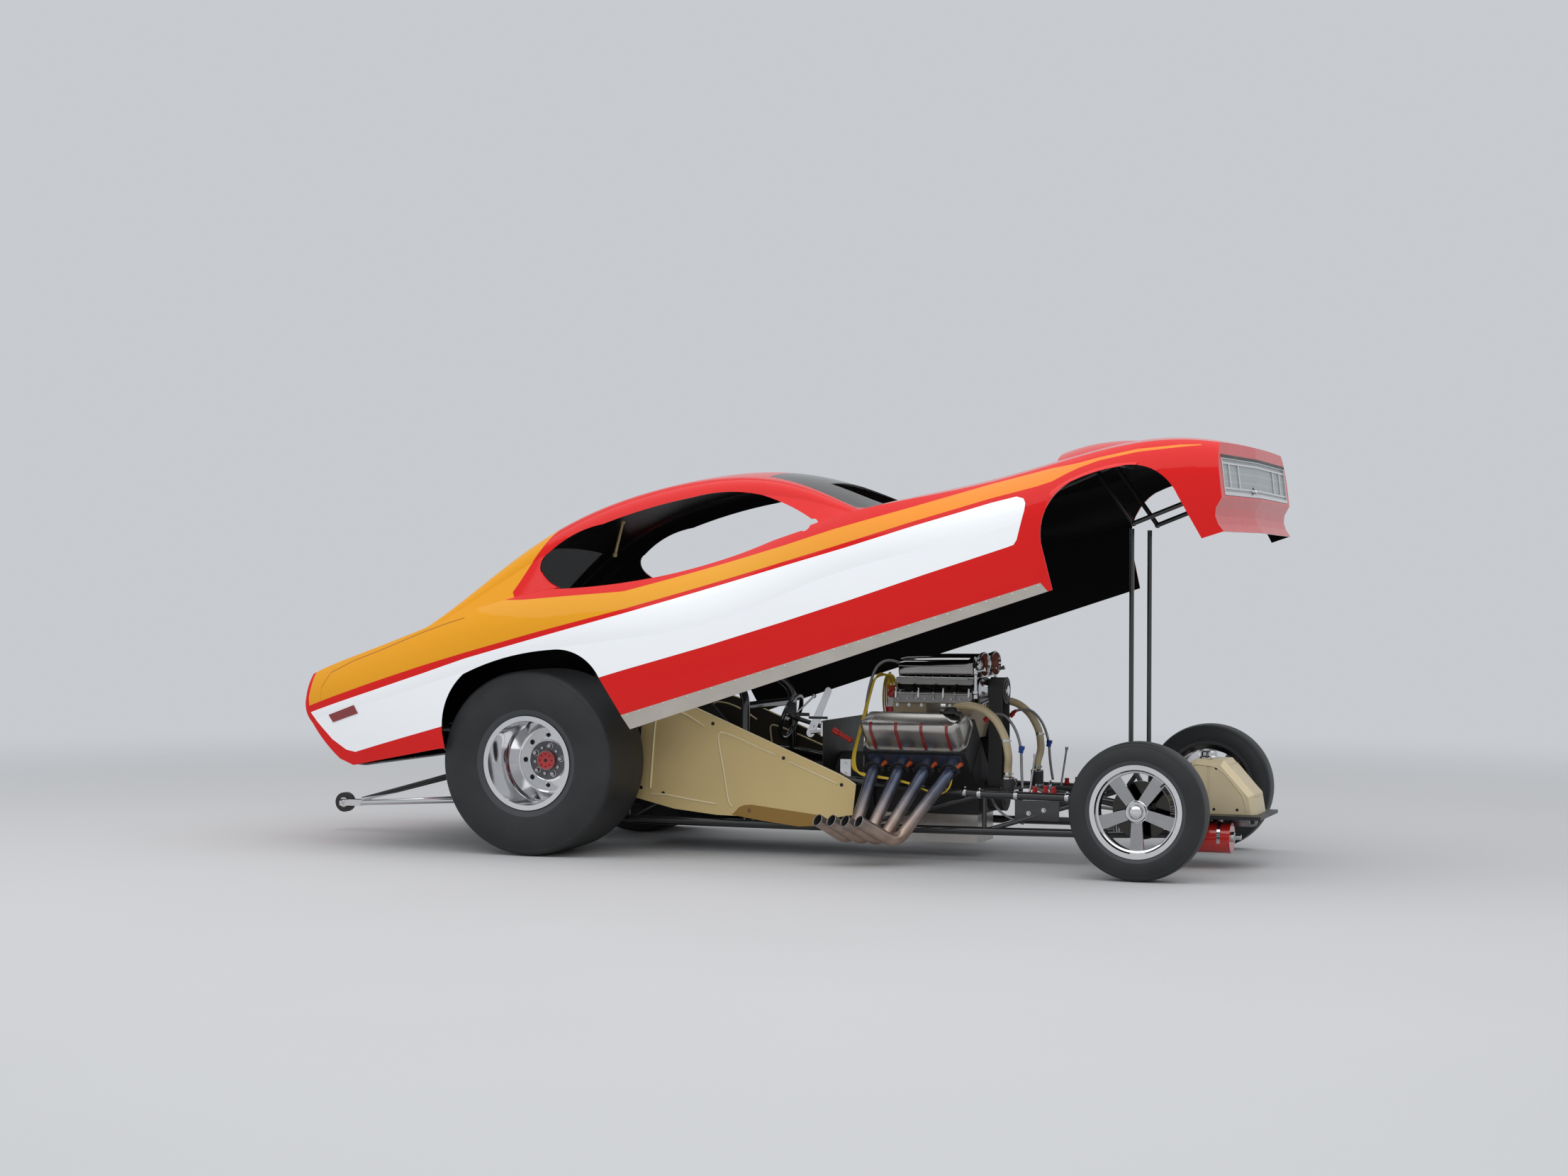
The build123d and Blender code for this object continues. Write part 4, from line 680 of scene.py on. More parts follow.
for s in (-1, 1):
    turned(fittings, [(0, 0), (0, 11), (18, 11), (22, 8), (110, 8), (114, 12), (134, 12), (138, 8), (146, 0)],
           at(1992, s * 172, 752), UP, 20)
    turned(fittings, [(-4, 0), (-4, 8), (34, 8), (36, 10), (48, 10), (48, 0)], at(1992, s * 172, 876),
           (0.9, 0, 0.25), 16)
    turned(fittings, [(-24, 9), (-24, 12), (-14, 12), (-14, 9)], at(1992, s * 172, 800), UP, 6)
    turned(fittings, [(0, 0), (0, 5), (170, 5), (176, 8), (188, 8), (188, 0)], at(2287, s * 290, 322), (0.15, 0, 1),
           14)
    for x, z in ((2314, 330), (2365, 336), (2403, 332)):
        turned(red_fittings, [(-14, 0), (-14, 15), (-4, 15), (-4, 12), (16, 12), (16, 0)], at(x, s * 296, z + 12),
               UP, 6)
    turned(red_fittings, [(-12, 0), (-12, 13), (10, 13), (12, 9), (30, 9), (30, 0)], at(2060, s * 222, 660),
           (0.5, 0, 0.5), 6)
    turned(blue_fittings, [(-16, 0), (-16, 13), (0, 13), (2, 16), (16, 16), (16, 0)], at(2237, s * 250, 525),
           (0.2, 0, 1), 6)
piece("fuel_tees", fittings, bright_steel)
for s, side in SIDES:
    tube(f"water_line_{side}", [at(x, s * y, z) for x, y, z in WATER_LINE], 6.5, braid)
piece("red_fittings", red_fittings, finish("anodised_red", (0.42, 0.02, 0.02), 0.3, 0.6, mottle=0.2))
piece("blue_fittings", blue_fittings, finish("anodised_blue", (0.03, 0.08, 0.35), 0.3, 0.6, mottle=0.2))

# Breather hoses. Stiff amber hoses held by screw clamps, from the covers down into two
# capped cans on the frame.
dress(finish("hose_amber", (0.42, 0.34, 0.2), 0.3, bump=0.25, bump_scale=90, stretch=(1, 1, 3), mottle=0.4,
             coat=0.3), "breather_hoses")
hose_clamps = bmesh.new()
cans = bmesh.new()
CLAMPS = ((1930, 292, 706, 0), (2176, 262, 412, 0), (2176, 302, 566, 0.1))     # place and lean
for s in (-1, 1):
    for x, y, z, lean in CLAMPS:
        place = at(x, s * y, z)
        turned(hose_clamps, [(-6, 18.6), (-6, 20), (6, 20), (6, 18.6)], place, (0, lean, 1), 28)
        block(hose_clamps, place + mm(21, 0, 0), (10, 14, 9), 2)
    for lid in ([(388, 31), (396, 31.5), (400, 28), (400, 19)], [(318, 30.2), (318, 31.6), (330, 31.6), (330, 30.2)]):
        turned(cans, lid, at(2176, s * 262, 0), UP, 32)
piece("hose_clamps", hose_clamps, bright_steel)
piece("can_lids", cans, bright_steel)

# Fuel system in front. A folded gold tank with pressed beads stands on a black tray that is
# bent up at its front; the red fire bottle is strapped under the tray with bright bands.
def surface(name):
    """The faces of a CAD piece, to land trim on."""
    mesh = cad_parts[name].data
    return BVHTree.FromPolygons([v.co.copy() for v in mesh.vertices], [tuple(p.vertices) for p in mesh.polygons])


tank_sheet = finish("tank_sheet", (0.62, 0.52, 0.34), 0.42, 0.3, bump=0.1, bump_scale=50, stretch=(1, 1, 8),
                    mottle=0.25, mottle_scale=4)
dress(tank_sheet, "fuel_tank")
TANK_X, TANK_FACE, BEAD_RADIUS = 3060, 125, 3.2
dress(finish("tray_black", (0.012, 0.012, 0.013), 0.4, mottle=0.4), "front_tray")
dress(finish("bottle_red", (0.48, 0.015, 0.012), 0.2, coat=0.7, mottle=0.15), "fire_bottle")
band = bmesh.new()
for x in (2975, 3144):
    turned(band, [(-8, 69.3), (-8, 71), (8, 71), (8, 69.3)], at(x, -130, 145), AHEAD, 40)
    block(band, at(x, -130, 219), (16, 26, 12), 2)
turned(band, [(0, 24), (14, 22), (18, 14), (44, 12), (46, 0)], at(3192, -130, 145), AHEAD, 24)
piece("bottle_bands", band, bright_steel)
cap = bmesh.new()
turned(cap, [(-2, 46), (8, 46), (12, 42), (14, 38), (30, 38), (34, 34), (34, 0)], at(TANK_X, 0, 491), UP, 36)
for place in oval(at(TANK_X, 0, 498), (42, 0, 0), (0, 42, 0), 8):
    bolt(cap, place, UP, 3)
piece("tank_cap", cap, bright_steel)
tank_screws = bmesh.new()
TANK_BEAD = ((3000, 255), (2996, 380), (3000, 474), (3070, 468), (3132, 460), (3200, 385), (3256, 316), (3256, 262))
for s in (-1, 1):
    for x, z in ((3216, 268), (3010, 268), (3000, 470), (3120, 455), (3110, 268)):
        turned(tank_screws, [(-1, 7), (1.5, 6.5), (2.5, 4), (2.5, 0)], at(x, s * TANK_FACE, z), (0, s, 0), 14)
piece("tank_screws", tank_screws, dark_screw_and_shadow)
for s, side in SIDES:
    tube(f"tank_bead_{side}", [at(x, s * (TANK_FACE + 0.3), z) for x, z in TANK_BEAD], BEAD_RADIUS, tank_sheet)
tank_faces = surface("fuel_tank")
slope = []
for y, z in ((-96, 470), (-96, 330), (96, 330), (96, 470)):
    slope.append(tank_faces.ray_cast(at(3500, y, z), Vector((-1, 0, 0)))[0] + mm(0.5, 0, 0))
tube("tank_bead_front", slope + [slope[0]], BEAD_RADIUS, tank_sheet, order=2)

# Front axle and steering. Machined steel knuckles, steering arms and tie rod, with the tow
# eyes and the rear axle's shaft in the same bare steel.
dress(finish("machined_steel", (0.38, 0.38, 0.39), 0.26, 1.0, mottle=0.4), "tow_eyes", "rear_axle_shaft",
      "knuckle_left", "knuckle_right", "tie_rod")

# Front wheels. Five flat brushed spokes in a polished rim with a bright ring and a domed cap in
# the middle, and a narrow smooth tyre with a paler ring near its rim that is painted sheen.
FRONT_AXLE_X, FRONT_HUB_Y, FRONT_RADIUS = 2912, 780, 305
RIM_SHADE_REACH = 0.775     # how far out a front rim is dark, in metres


def tyre_finish(name, centre_x, centre_z, sheen_from, sheen_to):
    """Black rubber with fine turned ridges and a paler ring of painted sheen, both worked out from the axle."""
    material = finish(name, (0.017, 0.018, 0.02), 0.5, mottle=0.5, mottle_scale=6, specular=0.3)
    x, _, z = axes(material)
    off_x, off_z = maths("SUBTRACT", x, centre_x), maths("SUBTRACT", z, centre_z)
    radius = maths("SQRT", maths("ADD", maths("MULTIPLY", off_x, off_x), maths("MULTIPLY", off_z, off_z)))
    # The paler ring near the rim is painted sheen.
    recolour(material, both(above(radius, sheen_from), below(radius, sheen_to)), (0.05, 0.052, 0.056))
    ridges = maths("SINE", maths("MULTIPLY", radius, 1400))
    relief = node(material.node_tree, "Bump", {"Height": ridges, "Strength": 0.25, "Distance": 0.0006})
    plug(shader(material), {"Normal": relief.outputs["Normal"]})
    return material


front_rubber = tyre_finish("front_rubber", FRONT_AXLE_X / 1000 + REAR_AXLE_X, FRONT_RADIUS / 1000, 0.205, 0.222)
dress(front_rubber, "front_tyre_left", "front_tyre_right")
polished = finish("polished", (0.74, 0.74, 0.75), 0.07, 1.0, mottle=0.12, mottle_scale=20)
dress(polished, "rear_rims")
front_rim_metal = finish("front_rim_metal", (0.74, 0.74, 0.75), 0.1, 1.0, mottle=0.12, mottle_scale=20)
# Each front rim's inner part is painted near-black: painted shade inside the wheel.
recolour(front_rim_metal, below(maths("ABSOLUTE", axes(front_rim_metal)["Y"]), RIM_SHADE_REACH), (0.05, 0.048, 0.045))
dress(front_rim_metal, "front_rim_left", "front_rim_right")
brushed_face = finish("brushed_face", (0.4, 0.4, 0.41), 0.3, 1.0, bump=0.25, bump_scale=150, stretch=(1, 1, 0.2),
                      mottle=0.3, mottle_scale=20)
SPOKE = ((48, 23), (170, 30.5), (174, 26), (174, -26), (170, -30.5), (48, -23))     # along and across a spoke
for s, side in SIDES:
    centre = at(FRONT_AXLE_X, s * FRONT_HUB_Y, FRONT_RADIUS)
    rim_faces = surface(f"front_rim_{side}")
    inlays = bmesh.new()
    dome = bmesh.new()
    for i in range(5):
        angle = math.radians(-90 - 72 * i)
        along = Vector((math.cos(angle), 0, math.sin(angle)))
        across = Vector((-math.sin(angle), 0, math.cos(angle)))
        face = rim_faces.ray_cast(centre + along * 0.12 + mm(0, s * 200, 0), Vector((0, -s, 0)))[0]
        middle = Vector((centre.x, face.y - s * 0.0003, centre.z))
        prism(inlays, [middle + (along * a + across * b) / 1000 for a, b in SPOKE], mm(0, s * 1.8, 0))
    turned(dome, [(48, 46), (56, 47), (61, 44), (62, 38), (60, 34), (66, 31), (76, 24), (82, 12), (83, 0)], centre,
           (0, s, 0), 48)
    turned(dome, [(24, 184), (24, 171), (40, 168), (44.5, 170), (47, 176), (58, 183.5), (60, 184)], centre,
           (0, s, 0), 72)
    piece(f"spoke_faces_{side}", inlays, brushed_face, f"{side}_front_wheel")
    piece(f"hub_dome_{side}", dome, polished, f"{side}_front_wheel")
    valve = bmesh.new()
    turned(valve, [(0, 4), (26, 3.5), (30, 4.5), (38, 4.5), (38, 0)], centre + mm(130, s * 50, 130), (-0.5, s, -0.5),
           12)
    piece(f"front_valve_{side}", valve, dark_screw_and_shadow, f"{side}_front_wheel")

# Rear wheels. Wide smooth slicks on deep polished rims with a stepped, dished centre and a ring
# of eight holes, drawn as black discs of painted shade in bright rings; a dark hub plate, five lug
# nuts, five studs and a red cap fill the middle.
REAR_HUB_Y, REAR_RADIUS = 614, 438
# The paler ring near each rear rim is painted sheen.
rear_rubber = tyre_finish("rear_rubber", REAR_AXLE_X, REAR_RADIUS / 1000, 0.226, 0.252)
dress(rear_rubber, "rear_tyres")
hub_plate = finish("hub_plate", (0.13, 0.13, 0.14), 0.38, 0.7, mottle=0.3)
lug_steel = finish("lug_steel", (0.48, 0.48, 0.49), 0.25, 0.9, mottle=0.3)
hole_shade_black = finish("hole_shade_black", (0.006, 0.006, 0.006), 0.8, mottle=0.2)
cap_red = finish("cap_red", (0.55, 0.02, 0.02), 0.3, coat=0.5, mottle=0.2)
hub_plates = bmesh.new()
steps = bmesh.new()
lugs = bmesh.new()
caps = bmesh.new()
dots = bmesh.new()
hole_shades = bmesh.new()
hole_rings = bmesh.new()
rim_faces = surface("rear_rims")
for s in (-1, 1):
    centre = at(0, s * REAR_HUB_Y, REAR_RADIUS)
    out = (0, s, 0)
    turned(hub_plates, [(-1, 40), (-1, 90), (2.5, 92), (3.5, 88), (3.5, 40)], centre, out, 56)
    for step in ([(-2, 93), (1.5, 94), (3, 97), (1.5, 100), (-3, 101)],
                 [(-9, 146), (-2, 149), (0, 154), (-3, 160), (-12, 163)],
                 [(-9, 134), (-5, 136), (-6, 139), (-10, 140)]):
        turned(steps, step, centre, out, 64)
    for place in oval(centre, (70, 0, 0), (0, 0, 70), 5, 7 / 72):
        turned(lugs, [(2, 15), (5, 15), (6, 12)], place, out, 20)
        turned(lugs, [(5, 12), (20, 12), (24, 9), (24, 0)], place, out, 6)
    for place in oval(centre, (64, 0, 0), (0, 0, 64), 5, 43 / 72):
        turned(lugs, [(2, 7), (14, 7), (15, 5), (15, 0)], place, out, 14)
    for spot in oval(centre, (118, 0, 0), (0, 0, 118), 8):
        spot.y = rim_faces.ray_cast(spot + mm(13.5, s * 300, 0), Vector((0, -s, 0)))[0].y
        turned(hole_rings, [(-1, 12.2), (-1, 14.5), (1.2, 14.2), (1.6, 13.2), (1.0, 12.2)], spot, out, 28)
        # Each hole is a black disc: painted shade in the hole.
        turned(hole_shades, [(-6, 12.3), (0.2, 12.3), (0.2, 0)], spot, out, 28)
    turned(caps, [(2, 45), (24, 45), (28, 42), (30, 36), (30, 0)], centre, out, 48)
    face = centre + mm(0, s * 29.6, 0)
    for place in oval(face, (30, 0, 0), (0, 0, 30), 8):
        turned(dots, [(0, 4), (1.6, 3.6), (1.6, 0)], place, out, 12)
    turned(dots, [(0, 9), (2.5, 8), (2.5, 0)], face, out, 6)
for name, made, material in (("hub_plates", hub_plates, hub_plate), ("rim_steps", steps, polished),
                             ("rear_lugs", lugs, lug_steel), ("rim_hole_shades", hole_shades, hole_shade_black),
                             ("rim_hole_rings", hole_rings, bright_steel), ("hub_caps", caps, cap_red),
                             ("cap_screws", dots, dark_screw_and_shadow)):
    piece(name, made, material, "rear_wheels")

# Wheelie bar. Chromed lower tubes and black upper tubes meet at a small solid wheel, which
# has a bright hub on each side.
dress(finish("wheelie_rubber", (0.02, 0.02, 0.02), 0.6, mottle=0.3), "wheelie_wheel")
chrome = finish("chrome", (0.7, 0.7, 0.71), 0.08, 1.0, mottle=0.1)
dress(chrome, "wheelie_bar")
BAR_X, BAR_Z, BAR_SLOPE = 2.262, 0.17, 0.155     # the line between upper and lower tubes, in metres
x, _, z = axes(chrome)
upper = above(z, maths("ADD", BAR_Z, maths("MULTIPLY", maths("ADD", x, BAR_X), BAR_SLOPE)))
recolour(chrome, upper, (0.012, 0.012, 0.012))
plug(shader(chrome), {"Metallic": maths("SUBTRACT", 1, upper)})
wheel_hub = bmesh.new()
for s in (-1, 1):
    turned(wheel_hub, [(0, 26), (2, 25), (3, 12), (10, 11), (12, 8), (12, 0)], at(-1441, s * 19.2, 144), (0, s, 0),
           28)
piece("wheelie_hub", wheel_hub, bright_steel, "trailing_wheel")

# Body. One moulded fibreglass shell, sprayed in red, orange-gold and white stripes under a
# clear coat, and painted black inside as painted shade within the shell, with a raised lip over
# each front wheel opening. The stripes' edges are lines of x and z on the shut body, in
# millimetres from the rear axle.
TILT = math.radians(18.135)
OPEN_PIVOT = Vector((-1774.5, 0, 560))     # rear hinge in the frame, in millimetres
SHUT_PIVOT = Vector((-850, 0, 560))        # the same hinge from the rear axle
OUT_OF_SHUT = Matrix.Rotation(-TILT, 3, "Y")
BELT_LINE, GOLD_END = 952, 3395
GOLD_FOOT = ((-1104, 783), (-991, 783), (-713, 779), (-440, 772), (-200, 762), (200, 742), (623, 716), (1042, 699),
             (1438, 682), (1700, 672), (2072, 664), (2441, 650), (2656, 633), (2729, 632), (2791, 643), (2856, 652),
             (2955, 654), (3130, 634), (3317, 594), (3420, 570))
GOLD_TOP = ((-1200, 990), (-10, 985), (24, 951), (140, 915), (336, 869), (634, 798), (1054, 776), (1449, 756),
            (1704, 750), (2080, 731), (2450, 716), (2730, 693), (2854, 675), (2953, 668), (3126, 648), (3312, 606),
            (3420, 572))
PILLAR_EDGE = ((940, 26), (952, 24), (993, 11), (1023, 43), (1117, 133), (1176, 205), (1226, 274), (1300, 380))
GOLD_INNER = ((-1200, 430), (-700, 425), (-450, 500), (100, 508), (400, 508), (420, 0), (3500, 0))
WHITE_TOP = ((-1103, 750), (-996, 748), (-719, 741), (-446, 736), (-204, 735), (622, 696), (1041, 680), (1435, 663),
             (1732, 650), (2072, 643), (2441, 629), (2600, 615))
WHITE_FOOT = ((-1020, 498), (-956, 494), (-818, 488), (-637, 479), (-444, 469), (541, 446), (960, 430), (1358, 422),
              (1697, 419), (2048, 420), (2449, 417), (2600, 419))
WHITE_FRONT = ((410, 2486), (419, 2490), (434, 2509), (546, 2580), (577, 2593), (600, 2589), (617, 2562), (640, 2530))
TAIL_EDGE = ((480, -930), (494, -952), (519, -1000), (591, -1063), (699, -1122), (736, -1136), (760, -1144),
             (824, -1132), (912, -1090), (990, -1036), (1060, -1000))
CREASE = ((-1063, 779), (-1041, 846), (-977, 901), (-831, 917), (-691, 918), (-411, 929), (-283, 929), (-169, 925))


def raised(x, y, z):
    """A place on the shut body, in millimetres from the rear axle, as a point of the frame."""
    return (OUT_OF_SHUT @ (Vector((x, y, z)) - SHUT_PIVOT) + OPEN_PIVOT) / 1000


def table(value, points):
    """Read a value off a line of points, straight between them."""
    start, end = points[0][0], points[-1][0]
    low, high = min(p[1] for p in points) - 1, max(p[1] for p in points) + 1
    part = maths("DIVIDE", maths("SUBTRACT", value, start), end - start, clamp=True)
    curve = node(value.id_data, "FloatCurve", {"Value": part})
    line = curve.mapping.curves[0]
    places = [((x - start) / (end - start), (z - low) / (high - low)) for x, z in points]
    line.points[0].location, line.points[1].location = places[0], places[-1]
    for place in places[1:-1]:
        line.points.new(*place)
    for point in line.points:
        point.handle_type = "VECTOR"
    curve.mapping.update()
    return maths("ADD", maths("MULTIPLY", curve.outputs["Value"], high - low), low)


def shut_place(material):
    """Where a point of the raised body is when the body is shut, in millimetres from the rear axle."""
    place = node(material.node_tree, "TexCoord").outputs["Object"]
    return node(material.node_tree, "Mapping", {
        "Vector": place, "Scale": (1000, 1000, 1000), "Rotation": (0, TILT, 0),
        "Location": SHUT_PIVOT - Matrix.Rotation(TILT, 3, "Y") @ OPEN_PIVOT}).outputs["Vector"]


GOLD, ORANGE, WHITE, INSIDE_SHADE_BLACK = (0.7, 0.3, 0.008), (0.86, 0.225, 0.02), (0.84, 0.86, 0.88), (0.008, 0.008, 0.008)
body_paint = finish("body_paint", (0.62, 0.005, 0.004), 0.25, coat=0.5, mottle=0.05, specular=0.05)
shut = shut_place(body_paint)
x, y, z = axes(body_paint, shut)
low_part = both(below(z, BELT_LINE), below(z, table(x, GOLD_TOP)))
high_part = both(above(z, BELT_LINE - 0.1), below(x, table(z, PILLAR_EDGE)))
off_tail = above(x, table(z, TAIL_EDGE))
gold_mask = both(above(z, table(x, GOLD_FOOT)), maths("MAXIMUM", low_part, high_part),
                 above(maths("ABSOLUTE", y), table(x, GOLD_INNER)), below(x, GOLD_END), off_tail)
white_mask = both(below(z, table(x, WHITE_TOP)), above(z, table(x, WHITE_FOOT)), below(x, table(z, WHITE_FRONT)),
                  off_tail)
# A thin darker line along the crease is painted shade of the fold.
crease_gap = maths("ABSOLUTE", maths("SUBTRACT", z, table(x, CREASE)))
crease_shade_mask = both(gold_mask, below(crease_gap, 3), below(x, -170), above(x, -1062))
tree = body_paint.node_tree
flat_normal = node(tree, "VectorTransform", {"Vector": node(tree, "NewGeometry").outputs["True Normal"]},
                   vector_type="NORMAL", convert_from="WORLD", convert_to="OBJECT").outputs["Vector"]
facing = node(tree, "Mapping", {"Vector": flat_normal, "Rotation": (0, TILT, 0)}, vector_type="VECTOR")
outward = node(tree, "Mapping", {"Vector": shut, "Location": (-330, 0, -500), "Scale": (0.3, 1, 1)})
side_of = node(tree, "VectorMath", {0: facing.outputs["Vector"], 1: outward.outputs["Vector"]},
               operation="DOT_PRODUCT")
# Faces that look into the shell are painted black: painted shade inside the body.
inside_shade_mask = below(side_of.outputs["Value"], 0)
toward_nose = maths("DIVIDE", maths("SUBTRACT", x, 1300), 1300, clamp=True)
recolour(body_paint, gold_mask, blend(toward_nose, GOLD, ORANGE))
recolour(body_paint, white_mask, WHITE)
recolour(body_paint, crease_shade_mask, (0.42, 0.15, 0.012))
recolour(body_paint, inside_shade_mask, INSIDE_SHADE_BLACK)
plug(shader(body_paint), {"Coat Weight": maths("MULTIPLY", maths("SUBTRACT", 1, inside_shade_mask), 0.5)})
dress(body_paint, "body_shell")

shell_faces = surface("body_shell")
LIP = ((2676, 530), (2697, 567), (2715, 589), (2760, 604), (2804, 614), (2870, 620), (2929, 622), (2980, 619),
       (3027, 613), (3075, 602), (3120, 588), (3170, 562), (3201, 528))
ARCH_MIDDLE = (2925, 400)
LANDING_Y = 1200     # a place well outside the body, for lines that land on it


def onto_shell(x, s, z):
    return shell_faces.ray_cast(raised(x, s * LANDING_Y, z), Vector((0, -s, 0)))[0]


flares = bmesh.new()
for s in (-1, 1):
    rows = []
    for x, z in LIP:
        outer = onto_shell(x, s, z)
        way = Vector((ARCH_MIDDLE[0] - x, ARCH_MIDDLE[1] - z)).normalized()
        edge, reach = outer, 0
        for step in range(1, 70):
            found = onto_shell(x + way.x * step, s, z + way.y * step)
            if not found or abs(found.y) < 0.5:
                break
            edge, reach = found, step
        part = min(1, reach / 18)
        middle = (outer + edge) / 2
        rows.append([outer + mm(0, s * 0.4, 0), middle + mm(0, s * 7 * part, 0), edge + mm(0, s * 10 * part, 0),
                     edge + mm(0, -s, 0)])
    rows = [[flares.verts.new(p) for p in row] for row in rows]
    for a, b in zip(rows, rows[1:]):
        for i in range(3):
            flares.faces.new((a[i], a[i + 1], b[i + 1], b[i]))
# The lip's red is a lighter copy of the body red: painted light.
piece("arch_flares", flares, finish("lip_red_highlit", (0.66, 0.01, 0.008), 0.3, coat=0.4, mottle=0.05, specular=0.1),
      "tilt_body")

MARKER = ((-1037, 706), (-873, 707), (-864, 663), (-1024, 665))
markers = bmesh.new()
for s in (-1, 1):
    prism(markers, [onto_shell(x, s, z) - mm(0, s * 4, 0) for x, z in MARKER], mm(0, s * 8, 0))
piece("tail_markers", markers, finish("marker_red", (0.2, 0.006, 0.006), 0.2, coat=0.8, bump=0.3, bump_scale=500,
                                      mottle=0.2), "tilt_body")

# Side strips. A band of thin aluminium is riveted along each lower edge of the shell, with
# one row of small domed rivets; the folded grey bumper sheet hangs under the tail.
dress(finish("riveted_strip", (0.5, 0.46, 0.41), 0.36, 0.6, bump=0.1, bump_scale=60, stretch=(0.2, 1, 6),
             mottle=0.35), "rocker_strips")
dress(finish("grey_sheet", (0.27, 0.28, 0.29), 0.4, mottle=0.2), "rear_bumper")
strip_faces = surface("rocker_strips")
rivets = bmesh.new()
for s in (-1, 1):
    for x in range(430, 2600, 62):
        found = []
        for z in range(200, 460, 6):
            hit, normal, _, _ = strip_faces.ray_cast(raised(x, s * LANDING_Y, z), Vector((0, -s, 0)))
            if hit and abs(hit.y) > 0.6:
                found.append((hit, normal))
        if len(found) > 3:
            hit, normal = found[-2]
            if normal.y * s < 0:
                normal = -normal
            turned(rivets, [(-0.5, 4.4), (0.3, 4.4), (1.6, 3.0), (2.2, 0)], hit, normal, 10)
piece("strip_rivets", rivets, bright_steel, "tilt_body")

# Windows. Thin sheets, smoked dark, set flush into the roof at the front and the back. The
# cabin shows dimly through them.
smoked_sheet = finish("smoked_sheet", (0.02, 0.017, 0.014), 0.06, mottle=0.2, mottle_scale=3)
plug(shader(smoked_sheet), {"Alpha": 0.8})
dress(smoked_sheet, "window_panes")

# Nose. A frosted lamp plate set behind bright bars, with a dark strip under the hood's lip and
# one chrome knob, beside a dark round disc that is the knob's painted shadow.
NOSE_X, NOSE_Z, NOSE_LEAN, NOSE_SWEEP = 3437, 328, 0.2026, 0.02
nose_panel = finish("nose_panel", (0.3, 0.335, 0.335), 0.22, mottle=0.15, mottle_scale=12)
x, y, z = axes(nose_panel, shut_place(nose_panel))
face_x = maths("ADD", maths("MULTIPLY", maths("SUBTRACT", z, NOSE_Z), NOSE_LEAN), NOSE_X)
stand = maths("SUBTRACT", maths("ADD", x, maths("MULTIPLY", maths("ABSOLUTE", y), NOSE_SWEEP)), face_x)
bar_mask = above(stand, -4)
recolour(nose_panel, above(maths("SINE", maths("MULTIPLY", z, 0.16)), 0.88), (0.37, 0.4, 0.4))
recolour(nose_panel, bar_mask, (0.75, 0.75, 0.76))
plug(shader(nose_panel), {"Metallic": bar_mask,
                          "Roughness": maths("SUBTRACT", 0.3, maths("MULTIPLY", bar_mask, 0.17))})
dress(nose_panel, "front_grille")


def nose_place(y, z, out=0.0):
    """A point on the nose face of the raised body, moved out of it by some millimetres."""
    return raised(NOSE_X + NOSE_LEAN * (z - NOSE_Z) - NOSE_SWEEP * abs(y) + out, y, z)


knobs = bmesh.new()
knob_shadow_and_strip = bmesh.new()
nose_out = OUT_OF_SHUT @ Vector((1, 0, -0.2))
# The dark disc beside the knob is the knob's painted shadow.
turned(knob_shadow_and_strip, [(-4, 22), (1, 22), (2, 20), (2, 0)], nose_place(-118, 366, -6), nose_out, 28)
turned(knobs, [(0, 6), (9, 6), (10, 10), (14, 12), (19, 10), (22, 0)], nose_place(-150, 362, -4), nose_out, 24)
# A dark strip runs across the nose under the hood's lip.
UNDER_LIP_STRIP = ((513, -1), (513, 3.5), (506, 4.5), (499, 3), (499, -1))     # height, and how far it stands out
skin(knob_shadow_and_strip, [[nose_place(y, z, out) for z, out in UNDER_LIP_STRIP] for y in range(-762, 763, 127)], ends=True)
piece("nose_knob_shadow_and_strip", knob_shadow_and_strip, dark_screw_and_shadow, "tilt_body")
piece("nose_knobs", knobs, bright_steel, "tilt_body")

# Hatch rod. A thin rod of gold anodised tube hangs from the roof inside the cabin, with a
# small knob at its end.
hatch_rod = bmesh.new()
top, foot = at(117, 0, 1590), at(72, 0, 1415)
length = (foot - top).length * 1000
turned(hatch_rod, [(-4, 0), (-4, 9), (0, 11), (12, 11), (16, 7), (length - 20, 7), (length - 16, 12), (length, 10),
                   (length + 4, 0)], top, foot - top, 16)
piece("hatch_rod", hatch_rod, finish("gold_anodised", (0.6, 0.46, 0.22), 0.42, 0.35, bump=0.12, bump_scale=50,
                                     stretch=(1, 1, 10), mottle=0.25, mottle_scale=2.5), "tilt_body")

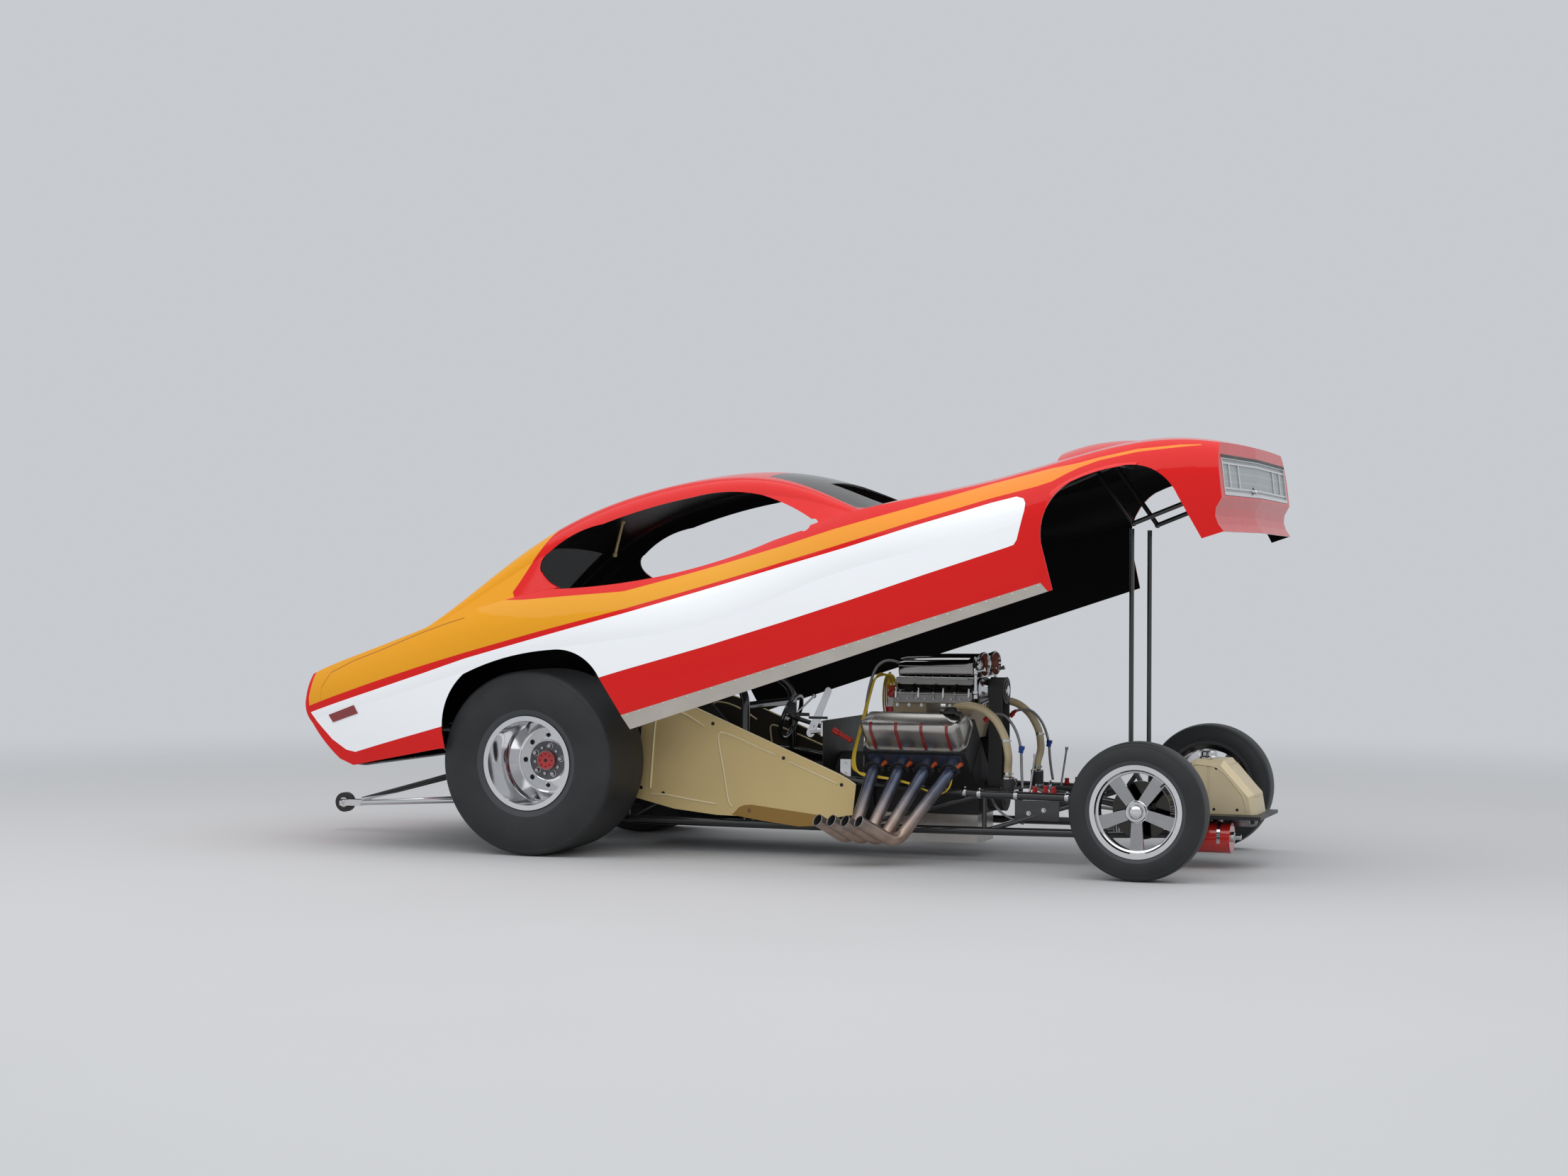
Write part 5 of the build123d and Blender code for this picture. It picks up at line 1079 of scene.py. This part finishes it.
# Studio. A pale floor that fades into a pale background, one large soft light overhead and
# two softer ones at the sides.
FLOOR_HALF = 60
FADE_FROM, FADE_TO = 3.6, 11
LIT_PLACE = Vector((0, 0, 0.6))
floor_mesh = bpy.data.meshes.new("floor")
floor_mesh.from_pydata([(x * FLOOR_HALF, y * FLOOR_HALF, 0) for x, y in ((-1, -1), (1, -1), (1, 1), (-1, 1))], [],
                       [(0, 1, 2, 3)])
floor = bpy.data.objects.new("floor", floor_mesh)
bpy.context.scene.collection.objects.link(floor)
floor_paint = finish("floor_paint", (0.5, 0.5, 0.505), 0.8, mottle=0.05, mottle_scale=0.6, specular=0.2)
tree = floor_paint.node_tree
reach = node(tree, "VectorMath", {0: node(tree, "TexCoord").outputs["Object"]}, operation="LENGTH")
fade = node(tree, "MapRange", {"Value": reach.outputs["Value"], "From Min": FADE_FROM, "From Max": FADE_TO},
            interpolation_type="SMOOTHSTEP")
faded = node(tree, "MixShader", {"Fac": fade.outputs["Result"], 1: shader(floor_paint).outputs["BSDF"],
                                 2: node(tree, "BsdfTransparent").outputs["BSDF"]})
plug(tree.nodes["Material Output"], {"Surface": faded.outputs["Shader"]})
floor_mesh.materials.append(floor_paint)
floor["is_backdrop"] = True

world = bpy.data.worlds.new("studio")
bpy.context.scene.world = world
world.use_nodes = True
plug(world.node_tree.nodes["Background"], {"Color": (0.8, 0.83, 0.87), "Strength": 0.72})


def soft_light(name, place, size, power, glossy=True):
    """A large flat lamp that faces the car."""
    lamp = bpy.data.lights.new(name, "AREA")
    lamp.shape = "RECTANGLE"
    lamp.size, lamp.size_y = size
    lamp.energy = power
    lamp_object = bpy.data.objects.new(name, lamp)
    lamp_object.location = place
    lamp_object.visible_glossy = glossy
    lamp_object.rotation_euler = (LIT_PLACE - Vector(place)).to_track_quat("-Z", "Y").to_euler()
    bpy.context.scene.collection.objects.link(lamp_object)


soft_light("overhead", (0.5, -1.5, 7.5), (16, 12), 680)
soft_light("front_side", (3.5, -9, 3.5), (6, 3), 150, glossy=False)
soft_light("rear_side", (-7, -6, 3), (4, 3), 80, glossy=False)
bpy.context.scene.view_settings.view_transform = "Standard"

visual_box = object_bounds()
sizes = {"cad": [list(corner) for corner in cad_box], "visual": [list(corner) for corner in visual_box]}
